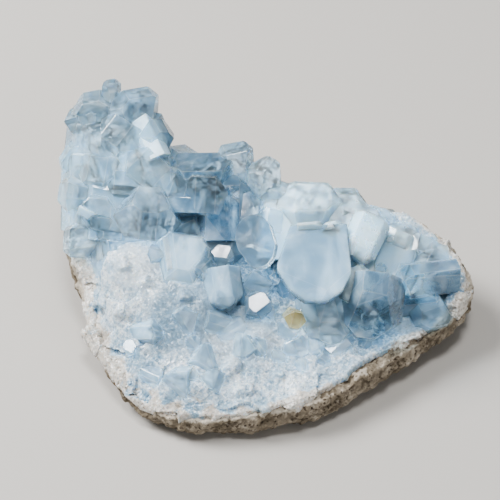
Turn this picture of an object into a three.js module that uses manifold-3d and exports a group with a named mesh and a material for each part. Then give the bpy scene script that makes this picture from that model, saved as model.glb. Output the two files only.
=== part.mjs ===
// A celestite crystal cluster: a broken piece of a geode's wall, as it lies on a table.
// Two things grew together in it: a rind of sandy grey rock, and the crust of pale blue
// celestite that lined the cavity. The crust is one intergrown mass, so its crystals are
// joined in one solid. Millimetres, +Z up. The origin is the middle of the flat broken
// face that the rind rests on, +X is to the right and +Y is away from the viewer.
import * as THREE from "three";
import { ConvexGeometry } from "three/addons/geometries/ConvexGeometry.js";
import { mergeVertices } from "three/addons/utils/BufferGeometryUtils.js";
import Module from "manifold-3d";

const wasm = await Module();
wasm.setup();

// Driving dimensions
const WIDTH = 103; // the cluster from left to right
const GAP = 0.3; // between the rock and the crust, so that the two solids never meet
const FOOT = 0.5; // share of the outline, from the middle, that is flat and rests
const ROCK_AT_MIDDLE = 8; // thickness of the rock over the middle of the foot
const ROCK_SPOKES = 44; // points round each ring of the rock
const CRUST_SPOKES = 34; // points round each ring of the crust

// The places below are for a cluster that is this wide.
const DRAWN_WIDTH = 103;

// The broken edge seen from above, anticlockwise from the right: [x, y, low, high, bare],
// where low and high are the heights of the bottom and the top of the rock's edge there,
// and bare is how far the crust stands back from it.
const EDGE = [
  [51.3, 7.5, 6, 13, 1.5],
  [48.5, 14, 8, 16, 2],
  [42, 20, 9, 18.5, 3],
  [33, 25, 10, 20, 3],
  [20, 29, 10, 20, 2],
  [6, 31, 10, 20, 2],
  [-8, 34, 10, 22, 2],
  [-20, 37, 12, 25, 2],
  [-31, 40.5, 14, 29, 2],
  [-41, 40.5, 15, 29, 2],
  [-48, 34, 15, 26, 1.5],
  [-50.5, 22, 13, 22, 1],
  [-48, 11, 10, 17, 1],
  [-44.5, 1, 7, 12, 0.5],
  [-43, -7.5, 5, 9.5, 0.5],
  [-36, -18.5, 3, 7.5, 0.5],
  [-28, -28, 1.5, 6, 0.5],
  [-17, -31.3, 1, 6.5, 1],
  [-5, -31.2, 1, 7.5, 1],
  [8, -28.5, 1, 8, 1.5],
  [18.5, -24, 1.5, 8.5, 3],
  [26, -18, 2, 9, 4],
  [34.5, -12, 3, 9.5, 2],
  [43.5, -6, 4, 10.5, 1.5],
  [49.5, 0.5, 5, 11.5, 1.5],
];

// Heights of the solid crust between and under its crystals: [x, y, height].
const CRUST_LEVELS = [
  [-48, 16, 24], [-46, 4, 17], [-43, -6, 10], [-35, -18, 9.5], [-35, -13, 14],
  [-35, -5.5, 19.5], [-35, 3, 24.5], [-31, 7, 26.5], [-28, -22, 10], [-27, -12, 17.5],
  [-26, -3, 22.5], [-20, -22, 12], [-19, -16, 15], [-19, -5, 20.5], [-18, 5, 25],
  [-31, 14, 24], [-20, 14, 20], [-40, 18, 27], [-47, 26, 29], [-41, 27, 34],
  [-33, 28, 35], [-40, 36, 36], [-31, 36, 37], [-25, 28, 30], [-24, 35, 29],
  [-12, 12, 19], [-4, 14, 18], [-4, 7, 16], [-10, 20, 24], [-8, 29, 26],
  [0, 26, 25], [8, 26, 25], [-6, -20, 10.5], [-6, -11, 14.5], [-4, -1, 14.5],
  [4, 2, 14], [8, -6, 13], [8, -17, 10.5], [0, -25, 8.5], [13, 4, 15],
  [14, 14, 22], [20, 20, 22], [27, 20, 21], [30, 10, 18], [22, 2, 15.5],
  [20, -8, 12], [16, -16, 10.5], [22.5, -13, 9.5], [28, -10, 10], [34, -2, 10.5],
  [38, 3, 12.5], [39, -5, 10.5], [44, 3, 13], [41, 12, 17], [46, 9, 15],
];
const LEVEL_REACH = 4; // how far round each of those points its height is felt
const EDGE_LIP = 1.2; // height of the crust's edge over the rock's
const CRUST_UNEVEN = 2; // height of the small bumps on the solid crust

// The crystals that stand out: [name, tip, grows, looks, size, flat], where tip is the middle
// of the free end, grows points along the crystal out of the crust, looks is where its broad
// face turns, size is its length, its width and its thickness, and flat is the share of its
// width that the flat end keeps.
const CRYSTALS = [
  ["top nub", [-38.3, 39, 51], [0.05, 0.1, 1], [0.3, -0.9, 0.2], [16, 5.5, 4.5], 0.4],
  ["outer shard", [-47.5, 36, 43], [-0.4, 0.1, 0.9], [-0.3, -0.9, 0.3], [18, 12, 8], 0.5],
  ["upper shard", [-43, 37, 47], [-0.2, 0.1, 0.97], [0, -0.95, 0.3], [20, 11, 8], 0.5],
  ["striated crystal", [-32, 37, 48.5], [0.1, 0.1, 0.98], [0.45, -0.85, 0.3], [24, 12, 9], 0.45],
  ["tower shoulder", [-25.5, 31, 43], [0.45, -0.05, 0.9], [0.6, -0.75, 0.3], [18, 10, 8], 0.2],
  ["tower face", [-41, 31, 42], [-0.15, -0.4, 0.9], [0, -0.8, 0.6], [16, 12, 9], 0.3],
  ["lower tower face", [-38, 27, 39], [0.05, -0.55, 0.83], [0, 0.6, 0.8], [16, 14, 9], 0.5],
  ["window crystal", [-41, 13, 30.5], [-0.05, -0.75, 0.6], [0.1, 0.6, 0.8], [14, 9.5, 8], 0.5],
  ["milky prism", [-28.5, 8, 31], [0.1, -0.9, 0.35], [0.15, 0.35, 0.92], [26, 15, 13], 0.2],
  ["deep blue prism", [-15.5, 17, 30.5], [0.1, -0.75, 0.6], [0.05, 0.6, 0.75], [22, 14, 13], 0.3],
  ["deep blue back", [-16, 27, 35.5], [0.05, 0.05, 1], [0.1, -0.95, 0.2], [20, 14, 9], 0.85],
  ["flat topped block", [-8, 31, 36], [-0.05, 0.1, 1], [0.25, -0.95, 0.1], [20, 8.5, 8], 0.7],
  ["bright tip", [-0.3, 27, 33.5], [0.1, -0.1, 1], [-0.5, -0.85, 0.1], [18, 9, 8], 0.2],
  ["shaded block", [-10.8, 14, 25.5], [0, -0.5, 0.85], [0.3, 0.4, 0.85], [14, 12, 9], 0.3],
  ["rounded plate", [-1, 2.5, 23], [-0.1, -0.85, -0.35], [-0.6, -0.35, 0.7], [13, 12, 6], 0.2],
  ["great plate", [11.2, -8, 21.5], [0.03, -0.95, -0.25], [0, -0.28, 0.96], [21, 17.5, 9], 0.2],
  ["icy mass", [10.5, 21.5, 29.5], [0.05, 0, 1], [0, -0.95, 0.1], [18, 16, 15], 0.6],
  ["icy shoulder", [21, 21.5, 26], [0.2, -0.1, 0.95], [0.3, -0.9, 0.1], [15, 12, 9], 0.5],
  ["white blade", [22.5, 6, 23], [-0.35, -0.75, 0.3], [-0.1, 0, 1], [14, 9, 7], 0.3],
  ["right shoulder", [33, 13, 23], [0.15, -0.5, 0.85], [-0.3, -0.9, -0.1], [13, 9, 8], 0.4],
  ["right lip", [39.5, 12, 20.5], [0.3, -0.4, 0.85], [-0.2, -0.9, -0.2], [12, 9, 7], 0.4],
  ["lying prism", [31.5, 1, 18], [-0.93, -0.3, 0.1], [0, -0.3, 0.95], [16, 9, 9], 0.3],
  ["dark prism", [24, -11.5, 12.5], [-0.12, -0.8, -0.5], [0, -0.5, 0.86], [20, 13.5, 11], 0.3],
  ["broken knob", [22, 0, 19], [0, -0.5, 0.85], [0.5, 0.5, 0.6], [10, 9, 8], 0.5],
  ["ridge shell", [-19.5, 9, 27.5], [0.15, 0.6, 0.75], [0.05, -0.75, 0.65], [15, 12.5, 8], 0.6],
  ["ridge block", [-31, 7, 27], [-0.1, 0.5, 0.8], [0.1, -0.75, 0.65], [14, 13, 8], 0.6],
  ["broad face", [-19.5, -15.5, 13], [0.05, -0.85, -0.5], [0, -0.42, 0.9], [16, 16.5, 9], 0.3],
  ["rhomb block", [-9.5, -6, 18], [0.15, -0.8, -0.5], [0, -0.45, 0.9], [13, 8.5, 7], 0.3],
  ["mirror stub", [-10.7, 8, 22], [0.05, -0.35, 0.93], [0.6, -0.5, 0.3], [9, 6.5, 5.5], 0.8],
  ["mirror block", [-1.5, -3, 17], [0.05, -0.35, 0.93], [0.5, -0.7, 0.3], [10, 7.5, 6.5], 0.8],
  ["valley stub", [-2, 2, 18], [0.1, -0.3, 0.9], [0.6, -0.5, 0.3], [9, 8, 7], 0.5],
  ["pale prism", [16.2, -12.5, 11.5], [0.2, -0.85, -0.45], [0, -0.45, 0.9], [17, 10, 8], 0.4],
  ["amber stub", [7, -7, 14.5], [0.1, -0.7, 0.6], [0.2, 0.6, 0.7], [10, 6, 5], 0.4],
  ["front block", [-5.5, -16, 12], [0, -0.85, -0.4], [0.1, -0.45, 0.88], [10, 13, 8], 0.4],
  ["rim block", [38, -7, 10.5], [0.2, -0.8, 0.2], [0.1, 0, 0.95], [10, 13, 6], 0.5],
  ["left edge high", [-50, 29, 36], [-0.75, -0.1, 0.6], [0.2, -0.9, 0.3], [14, 9, 8], 0.5],
  ["left edge", [-50, 20, 31.5], [-0.85, -0.2, 0.4], [0.2, -0.6, 0.7], [13, 9, 8], 0.5],
  ["left edge low", [-49, 11.5, 24.5], [-0.85, -0.3, 0.4], [0.2, -0.6, 0.7], [12, 9, 8], 0.5],
  ["tower back", [-36.5, 41, 38], [0, 0.5, 0.8], [0, 0.8, -0.6], [16, 12, 9], 0.3],
  ["back edge", [-20, 34, 33], [0, 0.4, 0.9], [0.4, -0.7, 0.5], [14, 11, 9], 0.4],
];

// Angles between the flat faces of celestite, in degrees, each measured from the axis that
// its name ends with, and how far each kind of face cuts in.
const SIDE_FROM_THICKNESS = 52.1; // the four sloping side faces
const TIP_FROM_LENGTH = 38; // the two faces of the wedge at the tip
const ROOF_FROM_LENGTH = 67.7; // the two shallow faces that lead up to the wedge
const CORNER_WAY = [0.451, 0.704, 0.549]; // the eight corner faces, as shares of the axes
const SIDE_VARIES = 0.16; // share by which one crystal's faces differ in distance
const TIP_VARIES = 0.8;
const ROOF_SHARE = [0.3, 0.95]; // share of the thickness where the roof meets the end
const CORNER_SHARE = [0.8, 0.98]; // 1 leaves the corner whole

const MIDDLE = new THREE.Vector2(-2, 3); // where the spokes of every ring start

const deg = THREE.MathUtils.degToRad;
const smooth = THREE.MathUtils.smoothstep;
const lerp = THREE.MathUtils.lerp;

// A repeatable uneven number from 0 to 1 for a whole number n. The three constants only
// scatter the numbers well.
const SCATTER = [12.9898, 4.1414, 43758.5453];
function uneven(n) {
  const x = Math.sin(n * SCATTER[0] + SCATTER[1]) * SCATTER[2];
  return x - Math.floor(x);
}

// One column of EDGE at t from 0 to 1 round the outline, as a smooth closed curve.
function roundEdge(column) {
  const count = EDGE.length;
  return (t) => {
    const at = (((t % 1) + 1) % 1) * count;
    const i = Math.floor(at);
    const f = at - i;
    const [a, b, c, d] = [-1, 0, 1, 2].map((k) => EDGE[(i + k + count) % count][column]);
    const square = 2 * a - 5 * b + 4 * c - d;
    const cube = 3 * b - a - 3 * c + d;
    return 0.5 * (2 * b + (c - a) * f + square * f ** 2 + cube * f ** 3);
  };
}
const [edgeX, edgeY, edgeLow, edgeHigh, edgeBare] = [0, 1, 2, 3, 4].map(roundEdge);

// The point of the plan at share s of the way from the middle to the edge, less an inset.
function planPoint(t, s, inset = 0) {
  const toEdge = new THREE.Vector2(edgeX(t), edgeY(t)).sub(MIDDLE);
  return toEdge.multiplyScalar(s * (1 - inset / toEdge.length())).add(MIDDLE);
}

// Underside of the rock: flat over the foot, then rising to the bottom of the edge.
const UNDER_CURVE = 1.7;
function underHeight(t, s) {
  return s <= FOOT ? 0 : edgeLow(t) * ((s - FOOT) / (1 - FOOT)) ** UNDER_CURVE;
}

// Top of the rock, under the crust.
const ROCK_CURVE = 2.2;
function rockHeight(t, s) {
  return lerp(ROCK_AT_MIDDLE, edgeHigh(t), s ** ROCK_CURVE);
}

// Top of the solid crust: the mean of the levels round the point, weighed by nearness,
// falling to the rock at the edge.
const FALL_STARTS = 0.84;
const LEAST_WEIGHT = 1e-9;
function crustHeight(t, s) {
  const p = planPoint(t, s, edgeBare(t));
  let sum = 0;
  let weights = 0;
  for (const [x, y, height] of CRUST_LEVELS) {
    const far = (p.x - x) ** 2 + (p.y - y) ** 2;
    const weight = Math.exp(-far / (2 * LEVEL_REACH ** 2)) + LEAST_WEIGHT;
    sum += weight * height;
    weights += weight;
  }
  return lerp(sum / weights, edgeHigh(t) + EDGE_LIP, smooth(s, FALL_STARTS, 1));
}

// A closed surface through rings that run from the bottom middle to the top middle. Each
// ring is a function that gives a point for t and the spoke's number; the first and the
// last ring are one point each.
function closedRings(rings, spokes) {
  const points = [];
  const rows = rings.map((ring, r) => {
    const pole = r === 0 || r === rings.length - 1;
    const row = [];
    for (let i = 0; i < (pole ? 1 : spokes); i++) {
      row.push(points.length);
      points.push(ring(i / spokes, i));
    }
    return (i) => row[i % row.length];
  });
  const faces = [];
  for (let r = 0; r + 1 < rows.length; r++) {
    const [low, high] = [rows[r], rows[r + 1]];
    for (let i = 0; i < spokes; i++) {
      if (r > 0) faces.push(low(i), low(i + 1), high(i + 1));
      if (r + 2 < rows.length) faces.push(low(i), high(i + 1), high(i));
    }
  }
  return new THREE.BufferGeometry().setFromPoints(points).setIndex(faces);
}

const MERGE_WITHIN = 1e-4;
function solidOf(geometry) {
  const bare = new THREE.BufferGeometry();
  bare.setAttribute("position", geometry.getAttribute("position"));
  if (geometry.index) bare.setIndex(geometry.index);
  const merged = mergeVertices(bare, MERGE_WITHIN);
  return new wasm.Manifold(
    new wasm.Mesh({
      numProp: 3,
      vertProperties: merged.attributes.position.array,
      triVerts: new Uint32Array(merged.index.array),
    }),
  );
}

function geometryOf(solid) {
  const { vertProperties, triVerts } = solid.getMesh();
  const geometry = new THREE.BufferGeometry();
  geometry.setAttribute("position", new THREE.BufferAttribute(vertProperties, 3));
  geometry.setIndex(new THREE.BufferAttribute(triVerts, 1));
  const scale = WIDTH / DRAWN_WIDTH;
  return geometry.scale(scale, scale, scale);
}

// Joins solids two by two, which is quicker than one after another.
function joined(solids) {
  while (solids.length > 1) {
    const pairs = [];
    for (let i = 0; i < solids.length; i += 2) {
      pairs.push(i + 1 < solids.length ? solids[i].add(solids[i + 1]) : solids[i]);
    }
    solids = pairs;
  }
  return solids[0];
}

// The rock: rings up the underside, over the broken edge and back along the top. grow
// makes it larger all over, which gives the space that the crust has to leave free.
const UNDER_RINGS = [0.62, 0.74, 0.85, 0.94];
const TOP_RINGS = [1, 0.88, 0.7, 0.45];
const EDGE_RINGS = [[1, 0.15], [1.012, 0.55]]; // share of the outline, share of the height
const ROCK_UNEVEN = 1.5; // how far the lumps of the broken rock stand out
const COVERED_UNEVEN = 0.5; // the same under the crust
const RING_DRAWS = 100; // numbers kept apart for each ring's lumps
const AXIS_DRAWS = 5000; // and for each of a lump's three directions
function rockRings(grow) {
  let ringNumber = 0;
  const lumpy = (s, height, amount = ROCK_UNEVEN) => {
    const seed = RING_DRAWS * ringNumber++;
    return (t, i) => {
      const p = planPoint(t, s, -grow);
      const lump = (axis) => (uneven(seed + i + AXIS_DRAWS * axis) - 0.5) * amount;
      return new THREE.Vector3(p.x + lump(0), p.y + lump(1), Math.max(height(t) + lump(2), -grow));
    };
  };
  return [
    () => new THREE.Vector3(MIDDLE.x, MIDDLE.y, -grow),
    lumpy(FOOT, () => -grow, 0),
    ...UNDER_RINGS.map((s) => lumpy(s, (t) => underHeight(t, s) - grow)),
    ...EDGE_RINGS.map(([s, up]) => lumpy(s, (t) => lerp(edgeLow(t), edgeHigh(t), up))),
    ...TOP_RINGS.map((s) => lumpy(s, (t) => rockHeight(t, s) + grow, s > FOOT ? COVERED_UNEVEN : 0)),
    () => new THREE.Vector3(MIDDLE.x, MIDDLE.y, ROCK_AT_MIDDLE + grow),
  ];
}

// The solid part of the crust, from inside the rock to its uneven top.
const ROOT = 2; // depth to which it is drawn into the rock before the rock's space is cut
const CRUST_RINGS = [1, 0.94, 0.84, 0.72, 0.6, 0.47, 0.34, 0.2];
function crustRings() {
  const at = (t, s, z) => {
    const p = planPoint(t, s, edgeBare(t));
    return new THREE.Vector3(p.x, p.y, z);
  };
  const bump = (n) => (uneven(n) - 0.5) * CRUST_UNEVEN;
  return [
    () => new THREE.Vector3(MIDDLE.x, MIDDLE.y, ROCK_AT_MIDDLE - ROOT),
    (t) => at(t, FOOT, rockHeight(t, FOOT) - ROOT),
    (t) => at(t, 1, rockHeight(t, 1) - ROOT),
    ...CRUST_RINGS.map((s, k) => (t, i) => at(t, s, crustHeight(t, s) + bump(i + RING_DRAWS * k))),
    () => new THREE.Vector3(MIDDLE.x, MIDDLE.y, crustHeight(0, 0)),
  ];
}

// The flat faces of one crystal as planes, each a direction and a distance, in a frame
// with x along its length and 0 at the tip, y across its width and z through its
// thickness. The same number always gives the same small differences between the faces.
const CRYSTAL_DRAWS = 40; // numbers kept apart for each crystal's faces
function crystalFaces({ size: [length, width, thick], flat, small }, number) {
  let draw = CRYSTAL_DRAWS * number;
  const vary = (share) => 1 + (uneven(draw++) - 0.5) * share;
  const pick = ([least, most]) => lerp(least, most, uneven(draw++));
  const [side, tip, roof] = [SIDE_FROM_THICKNESS, TIP_FROM_LENGTH, ROOF_FROM_LENGTH].map(deg);
  const faces = [];
  const addFace = (x, y, z, distance) => faces.push([[x, y, z], distance]);
  const [halfWidth, halfThick, halfEnd] = [width / 2, thick / 2, (flat * width) / 2];
  const [cornerX, cornerY, cornerZ] = CORNER_WAY;
  const cornerReach = cornerY * halfEnd + cornerZ * halfThick;
  addFace(1, 0, 0, 0);
  addFace(-1, 0, 0, length);
  for (const out of [-1, 1]) {
    addFace(0, 0, out, halfThick * vary(SIDE_VARIES));
    addFace(Math.cos(tip), out * Math.sin(tip), 0, Math.sin(tip) * halfEnd * vary(TIP_VARIES));
    if (!small) {
      const roofReach = Math.sin(roof) * halfThick * pick(ROOF_SHARE);
      addFace(Math.cos(roof), 0, out * Math.sin(roof), roofReach);
    }
    for (const up of [-1, 1]) {
      const sideReach = Math.sin(side) * halfWidth * vary(SIDE_VARIES);
      addFace(0, out * Math.sin(side), up * Math.cos(side), sideReach);
      if (small) continue;
      addFace(cornerX, out * cornerY, up * cornerZ, cornerReach * pick(CORNER_SHARE));
    }
  }
  return faces;
}

// The corners of a solid bounded by planes: every point where three planes meet that lies
// outside none of them.
const TOUCH = 1e-6;
function cornersOf(faces) {
  const planes = faces.map(([way, distance]) => {
    const normal = new THREE.Vector3(...way);
    const size = normal.length();
    return { normal: normal.divideScalar(size), distance: distance / size };
  });
  const corners = [];
  const consider = (a, b, c) => {
    const bc = b.normal.clone().cross(c.normal);
    const spread = a.normal.dot(bc);
    if (Math.abs(spread) < TOUCH) return;
    const p = bc.multiplyScalar(a.distance)
      .add(c.normal.clone().cross(a.normal).multiplyScalar(b.distance))
      .add(a.normal.clone().cross(b.normal).multiplyScalar(c.distance))
      .divideScalar(spread);
    if (planes.every((q) => q.normal.dot(p) <= q.distance + TOUCH)) corners.push(p);
  };
  planes.forEach((a, i) => {
    planes.slice(i + 1).forEach((b, j) => {
      planes.slice(i + j + 2).forEach((c) => consider(a, b, c));
    });
  });
  return corners;
}

// One crystal in its place.
function crystalSolid(crystal, number) {
  const along = new THREE.Vector3(...crystal.grows).normalize();
  const across = new THREE.Vector3(...crystal.looks).cross(along).normalize();
  const through = along.clone().cross(across);
  const place = new THREE.Matrix4().makeBasis(along, across, through).setPosition(...crystal.tip);
  const corners = cornersOf(crystalFaces(crystal, number));
  return solidOf(new ConvexGeometry(corners.map((p) => p.applyMatrix4(place))));
}

// Small crystals spread evenly over the crust on a sunflower spiral, each leaning away
// from the surface's normal by its own amount.
const SMALL_COUNT = 68;
const SMALL_LENGTH = [7, 12];
const SMALL_FLAT = 0.2;
const SMALL_WIDTH = [0.5, 0.8]; // share of the length
const SMALL_THICK = [0.6, 0.9]; // share of the width
const SMALL_OUT = 0.3; // share of the length that stands out of the crust
const LEAN = 1.1;
const GOLDEN_TURN = 0.381966;
const SPREAD = 0.95; // share of the outline that they cover
const CROWDING = 0.4; // 0.5 is even, and less crowds them towards the edge
const STEP_OUT = 0.03; // steps outward and round that give the slope of the crust
const STEP_ROUND = 0.01;
const DRAWS = { directions: 5000, length: 7000, width: 7500, thick: 8000 };
const DRAWS_EACH = 7;
function smallCrystals() {
  const small = [];
  for (let n = 0; n < SMALL_COUNT; n++) {
    const t = (n * GOLDEN_TURN) % 1;
    const s = SPREAD * ((n + 0.5) / SMALL_COUNT) ** CROWDING;
    const surface = (turn, share) => {
      const p = planPoint(turn, share, edgeBare(turn));
      return new THREE.Vector3(p.x, p.y, crustHeight(turn, share));
    };
    const foot = surface(t, s);
    const outward = surface(t, s + STEP_OUT).sub(foot);
    const round = surface(t + STEP_ROUND, s).sub(foot);
    const draw = (k) => uneven(n * DRAWS_EACH + k + DRAWS.directions) - 0.5;
    const lean = new THREE.Vector3(draw(0), draw(1), draw(2)).multiplyScalar(LEAN);
    const grows = outward.cross(round).normalize().add(lean).normalize();
    const length = lerp(...SMALL_LENGTH, uneven(n + DRAWS.length));
    const width = length * lerp(...SMALL_WIDTH, uneven(n + DRAWS.width));
    const thick = width * lerp(...SMALL_THICK, uneven(n + DRAWS.thick));
    small.push({
      tip: foot.addScaledVector(grows, length * SMALL_OUT).toArray(),
      grows: grows.toArray(),
      looks: [draw(3), draw(4), draw(5)],
      size: [length, width, thick],
      flat: SMALL_FLAT,
      small: true,
    });
  }
  return small;
}

const largeCrystals = CRYSTALS.map(([, tip, grows, looks, size, flat]) => {
  return { tip, grows, looks, size, flat };
});
const rock = solidOf(closedRings(rockRings(0), ROCK_SPOKES));
const crust = joined([
  solidOf(closedRings(crustRings(), CRUST_SPOKES)),
  ...[...largeCrystals, ...smallCrystals()].map(crystalSolid),
]).subtract(solidOf(closedRings(rockRings(GAP), ROCK_SPOKES)));
const largest = crust.decompose().reduce((a, b) => (b.volume() > a.volume() ? b : a));

const group = new THREE.Group();
function addPiece(name, solid, finish) {
  const piece = new THREE.Mesh(geometryOf(solid), new THREE.MeshStandardMaterial(finish));
  piece.name = name;
  group.add(piece);
}
addPiece("matrix_rock", rock, { color: 0xa89d8c, roughness: 0.95, metalness: 0 });
addPiece("celestite_crust", largest, { color: 0xb4c8d6, roughness: 0.15, metalness: 0 });

export default group;
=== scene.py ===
# A celestite crystal cluster: a broken piece of a geode's wall that lies on its rind of sandy
# grey rock, with pale blue crystals standing on it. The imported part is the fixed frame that
# every piece here is made around. Metres, +Z up, +X to the right, +Y away from the viewer.
import math
import random
from collections import namedtuple

import bmesh
import bpy
import numpy as np
from mathutils import Matrix, Vector


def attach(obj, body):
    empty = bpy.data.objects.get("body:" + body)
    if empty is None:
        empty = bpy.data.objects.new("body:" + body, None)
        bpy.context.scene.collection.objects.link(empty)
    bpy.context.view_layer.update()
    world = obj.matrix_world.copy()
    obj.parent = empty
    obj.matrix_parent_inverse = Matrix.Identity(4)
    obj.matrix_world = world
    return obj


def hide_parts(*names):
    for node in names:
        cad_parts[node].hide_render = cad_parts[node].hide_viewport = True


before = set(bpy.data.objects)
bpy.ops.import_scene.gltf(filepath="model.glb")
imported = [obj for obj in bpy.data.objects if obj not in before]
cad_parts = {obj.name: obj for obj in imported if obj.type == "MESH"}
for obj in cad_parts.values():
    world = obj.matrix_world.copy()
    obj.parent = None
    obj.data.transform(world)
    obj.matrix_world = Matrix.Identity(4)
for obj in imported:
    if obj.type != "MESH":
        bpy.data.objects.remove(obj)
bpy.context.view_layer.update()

# Camera. It looks down at the cluster from the low front edge, as steeply as in the
# photograph, with a long lens close by.
MM = 0.001
CAMERA_LENS = 95
CAMERA_TARGET = Vector((-3.9, 9.1, 22.1)) * MM
CAMERA_ELEVATION = math.radians(45)
CAMERA_DISTANCE = 323 * MM

camera_data = bpy.data.cameras.new("camera")
camera_data.lens = CAMERA_LENS
camera = bpy.data.objects.new("camera", camera_data)
bpy.context.scene.collection.objects.link(camera)
camera_way = Vector((0, -math.cos(CAMERA_ELEVATION), math.sin(CAMERA_ELEVATION)))
camera.location = CAMERA_TARGET + camera_way * CAMERA_DISTANCE
camera.rotation_euler = (-camera_way).to_track_quat("-Z", "Y").to_euler()
bpy.context.scene.camera = camera
bpy.context.scene.view_settings.look = "AgX - Medium High Contrast"

# Floor and light. A plain pale floor. A large soft lamp from the upper left and behind
# gives the shadow to the lower right. A smaller one overhead is what the level crystal
# faces mirror, and a weak one at the front opens the shadows.
FLOOR_SIZE = 4
FLOOR_COLOUR = (0.56, 0.54, 0.51, 1)
FLOOR_ROUGHNESS = 0.75
WORLD_LIGHT = 0.16
LAMPS = {  # name: (where it stands, side of the lamp, watts)
    "key": ((-0.66, 0.24, 0.74), 0.45, 14.5),
    "overhead": ((0.05, -0.05, 0.95), 0.22, 4.0),
    "fill": ((0.55, -0.75, 0.45), 0.5, 1.8),
}


def add_node(tree, kind, values=None, **settings):
    """One node. A value that is a socket is linked, and any other is set."""
    node = tree.nodes.new(kind)
    for name, value in settings.items():
        setattr(node, name, value)
    for socket, value in (values or {}).items():
        if isinstance(value, bpy.types.NodeSocket):
            tree.links.new(value, node.inputs[socket])
        else:
            node.inputs[socket].default_value = value
    return node


def new_material(name):
    """A material with an empty node tree: the material and the tree."""
    material = bpy.data.materials.new(name)
    material.use_nodes = True
    material.node_tree.nodes.clear()
    return material, material.node_tree


def add_surface(tree, values):
    """Gives a material its surface: a Principled shader with the given values."""
    shader = add_node(tree, "ShaderNodeBsdfPrincipled", values).outputs[0]
    add_node(tree, "ShaderNodeOutputMaterial", {"Surface": shader})


def new_object(name, mesh, material=None):
    piece = bpy.data.objects.new(name, mesh)
    bpy.context.scene.collection.objects.link(piece)
    if material:
        mesh.materials.clear()
        mesh.materials.append(material)
    return piece


floor_material, tree = new_material("pale floor")
add_surface(tree, {"Base Color": FLOOR_COLOUR, "Roughness": FLOOR_ROUGHNESS})
half = FLOOR_SIZE / 2
floor_mesh = bpy.data.meshes.new("floor")
floor_corners = [(-half, -half, 0), (half, -half, 0), (half, half, 0), (-half, half, 0)]
floor_mesh.from_pydata(floor_corners, [], [(0, 1, 2, 3)])
new_object("floor", floor_mesh, floor_material)

world = bpy.data.worlds.new("studio")
bpy.context.scene.world = world
world.use_nodes = True
background = world.node_tree.nodes["Background"]
background.inputs["Color"].default_value = (1, 1, 1, 1)
background.inputs["Strength"].default_value = WORLD_LIGHT
for name, (place, side, watts) in LAMPS.items():
    lamp_data = bpy.data.lights.new(name, "AREA")
    lamp_data.size = side
    lamp_data.energy = watts
    lamp = bpy.data.objects.new(name, lamp_data)
    lamp.location = place
    lamp.rotation_euler = (-Vector(place)).to_track_quat("-Z", "Y").to_euler()
    bpy.context.scene.collection.objects.link(lamp)

# Rind. The outer wall of the geode: sandy, grey-beige rock that the crystals grew on and that
# broke away with them. It is lumpy and pitted where it broke, coarse sand shows in it, and its
# upper edge is pale with celestite dust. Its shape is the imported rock's.
EDGE = [  # x, y, bottom and top of the broken edge there, and how wide the rock inside it is bare
    (51.3, 7.5, 6, 13, 1.5), (48.5, 14, 8, 16, 2), (42, 20, 9, 18.5, 3), (33, 25, 10, 20, 3),
    (20, 29, 10, 20, 2), (6, 31, 10, 20, 2), (-8, 34, 10, 22, 2), (-20, 37, 12, 25, 2),
    (-31, 40.5, 14, 29, 2), (-41, 40.5, 15, 29, 2), (-48, 34, 15, 26, 1.5),
    (-50.5, 22, 13, 22, 1), (-48, 11, 10, 17, 1), (-44.5, 1, 7, 12, 0.5),
    (-43, -7.5, 5, 9.5, 0.5), (-36, -18.5, 3, 7.5, 0.5), (-28, -28, 1.5, 6, 0.5),
    (-17, -31.3, 1, 6.5, 1), (-5, -31.2, 1, 7.5, 1), (8, -28.5, 1, 8, 1.5),
    (18.5, -24, 1.5, 8.5, 3), (26, -18, 2, 9, 4), (34.5, -12, 3, 9.5, 2),
    (43.5, -6, 4, 10.5, 1.5), (49.5, 0.5, 5, 11.5, 1.5),
]
EDGE_POINTS = 180
LEAST_WEIGHT = 1e-9  # so that every point has a mean, however far from the rows
RIND_VOXEL = 0.45 * MM
RIND_SURFACE = {
    "Break Size": 9 * MM, "Break Height": 0.5 * MM,
    "Chip Size": 3.2 * MM, "Chip Height": 0.35 * MM,
    "Lump Size": 2.4 * MM, "Lump Height": 0.8 * MM,
    "Grain Size": 1.0 * MM, "Grain Height": 0.4 * MM,
}
LUMP_DETAIL = 3
AROUND = 5  # steps from point to point to what is around a point
LOWEST = (-1.0, -1.0, 0.0)  # nothing reaches below the floor
SAND = {
    "Base": (0.215, 0.183, 0.138, 1),
    "Dark": (0.09, 0.07, 0.05, 1),
    "Pale": (0.46, 0.41, 0.34, 1),
}
SAND_GRAIN = 0.5 * MM
SAND_PATCHES = {"Scale": 140, "Detail": 5}
DARK_GRAINS = (0.78, 0.98)  # a range such as this is taken onto 0 to 1, or onto two more numbers
PALE_PATCHES = (0.45, 0.66)
GRAIN_VALUES = (0.0, 1.0, 0.8, 1.18)
# Sunk points are darkened as painted shade in the hollows, and raised ones are lightened as by wear.
WORN_AND_SHADED = (-0.15, 0.12)
SHADED_HOLLOW_TINT, WORN_TINT = (0.55, 0.52, 0.48, 1), (1.12, 1.1, 1.07, 1)
TEETH = {"Scale": 700, "Detail": 6}
TEETH_REACH = (0.3, 0.7, -0.5, 0.5)
DUSTY = (0.35, 0.6)
DUST_COLOUR = (0.80, 0.74, 0.64, 1)
SAND_IN_DUST = 0.6
DUST_DEPTHS = [  # x, y, how far down the broken edge the pale dust reaches
    (-50, 20, 2), (-45, -3, 3.5), (-33, -22, 2.5), (-20, -31, 1.2), (0, -31, 1.5), (20, -24, 0.5),
    (44, -6, 0), (51, 8, 2), (42, 20, 4), (20, 29, 3), (-10, 34, 3), (-35, 41, 2),
]
DUST_REACH = 6  # how far round it a row counts
DUST_FADE = 2
RIND_ROUGHNESS = 0.92
RIND_BUMP = {"Strength": 0.6, "Distance": 0.2 * MM}
MERGED = 0.01 * MM  # corners closer than this become one


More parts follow.
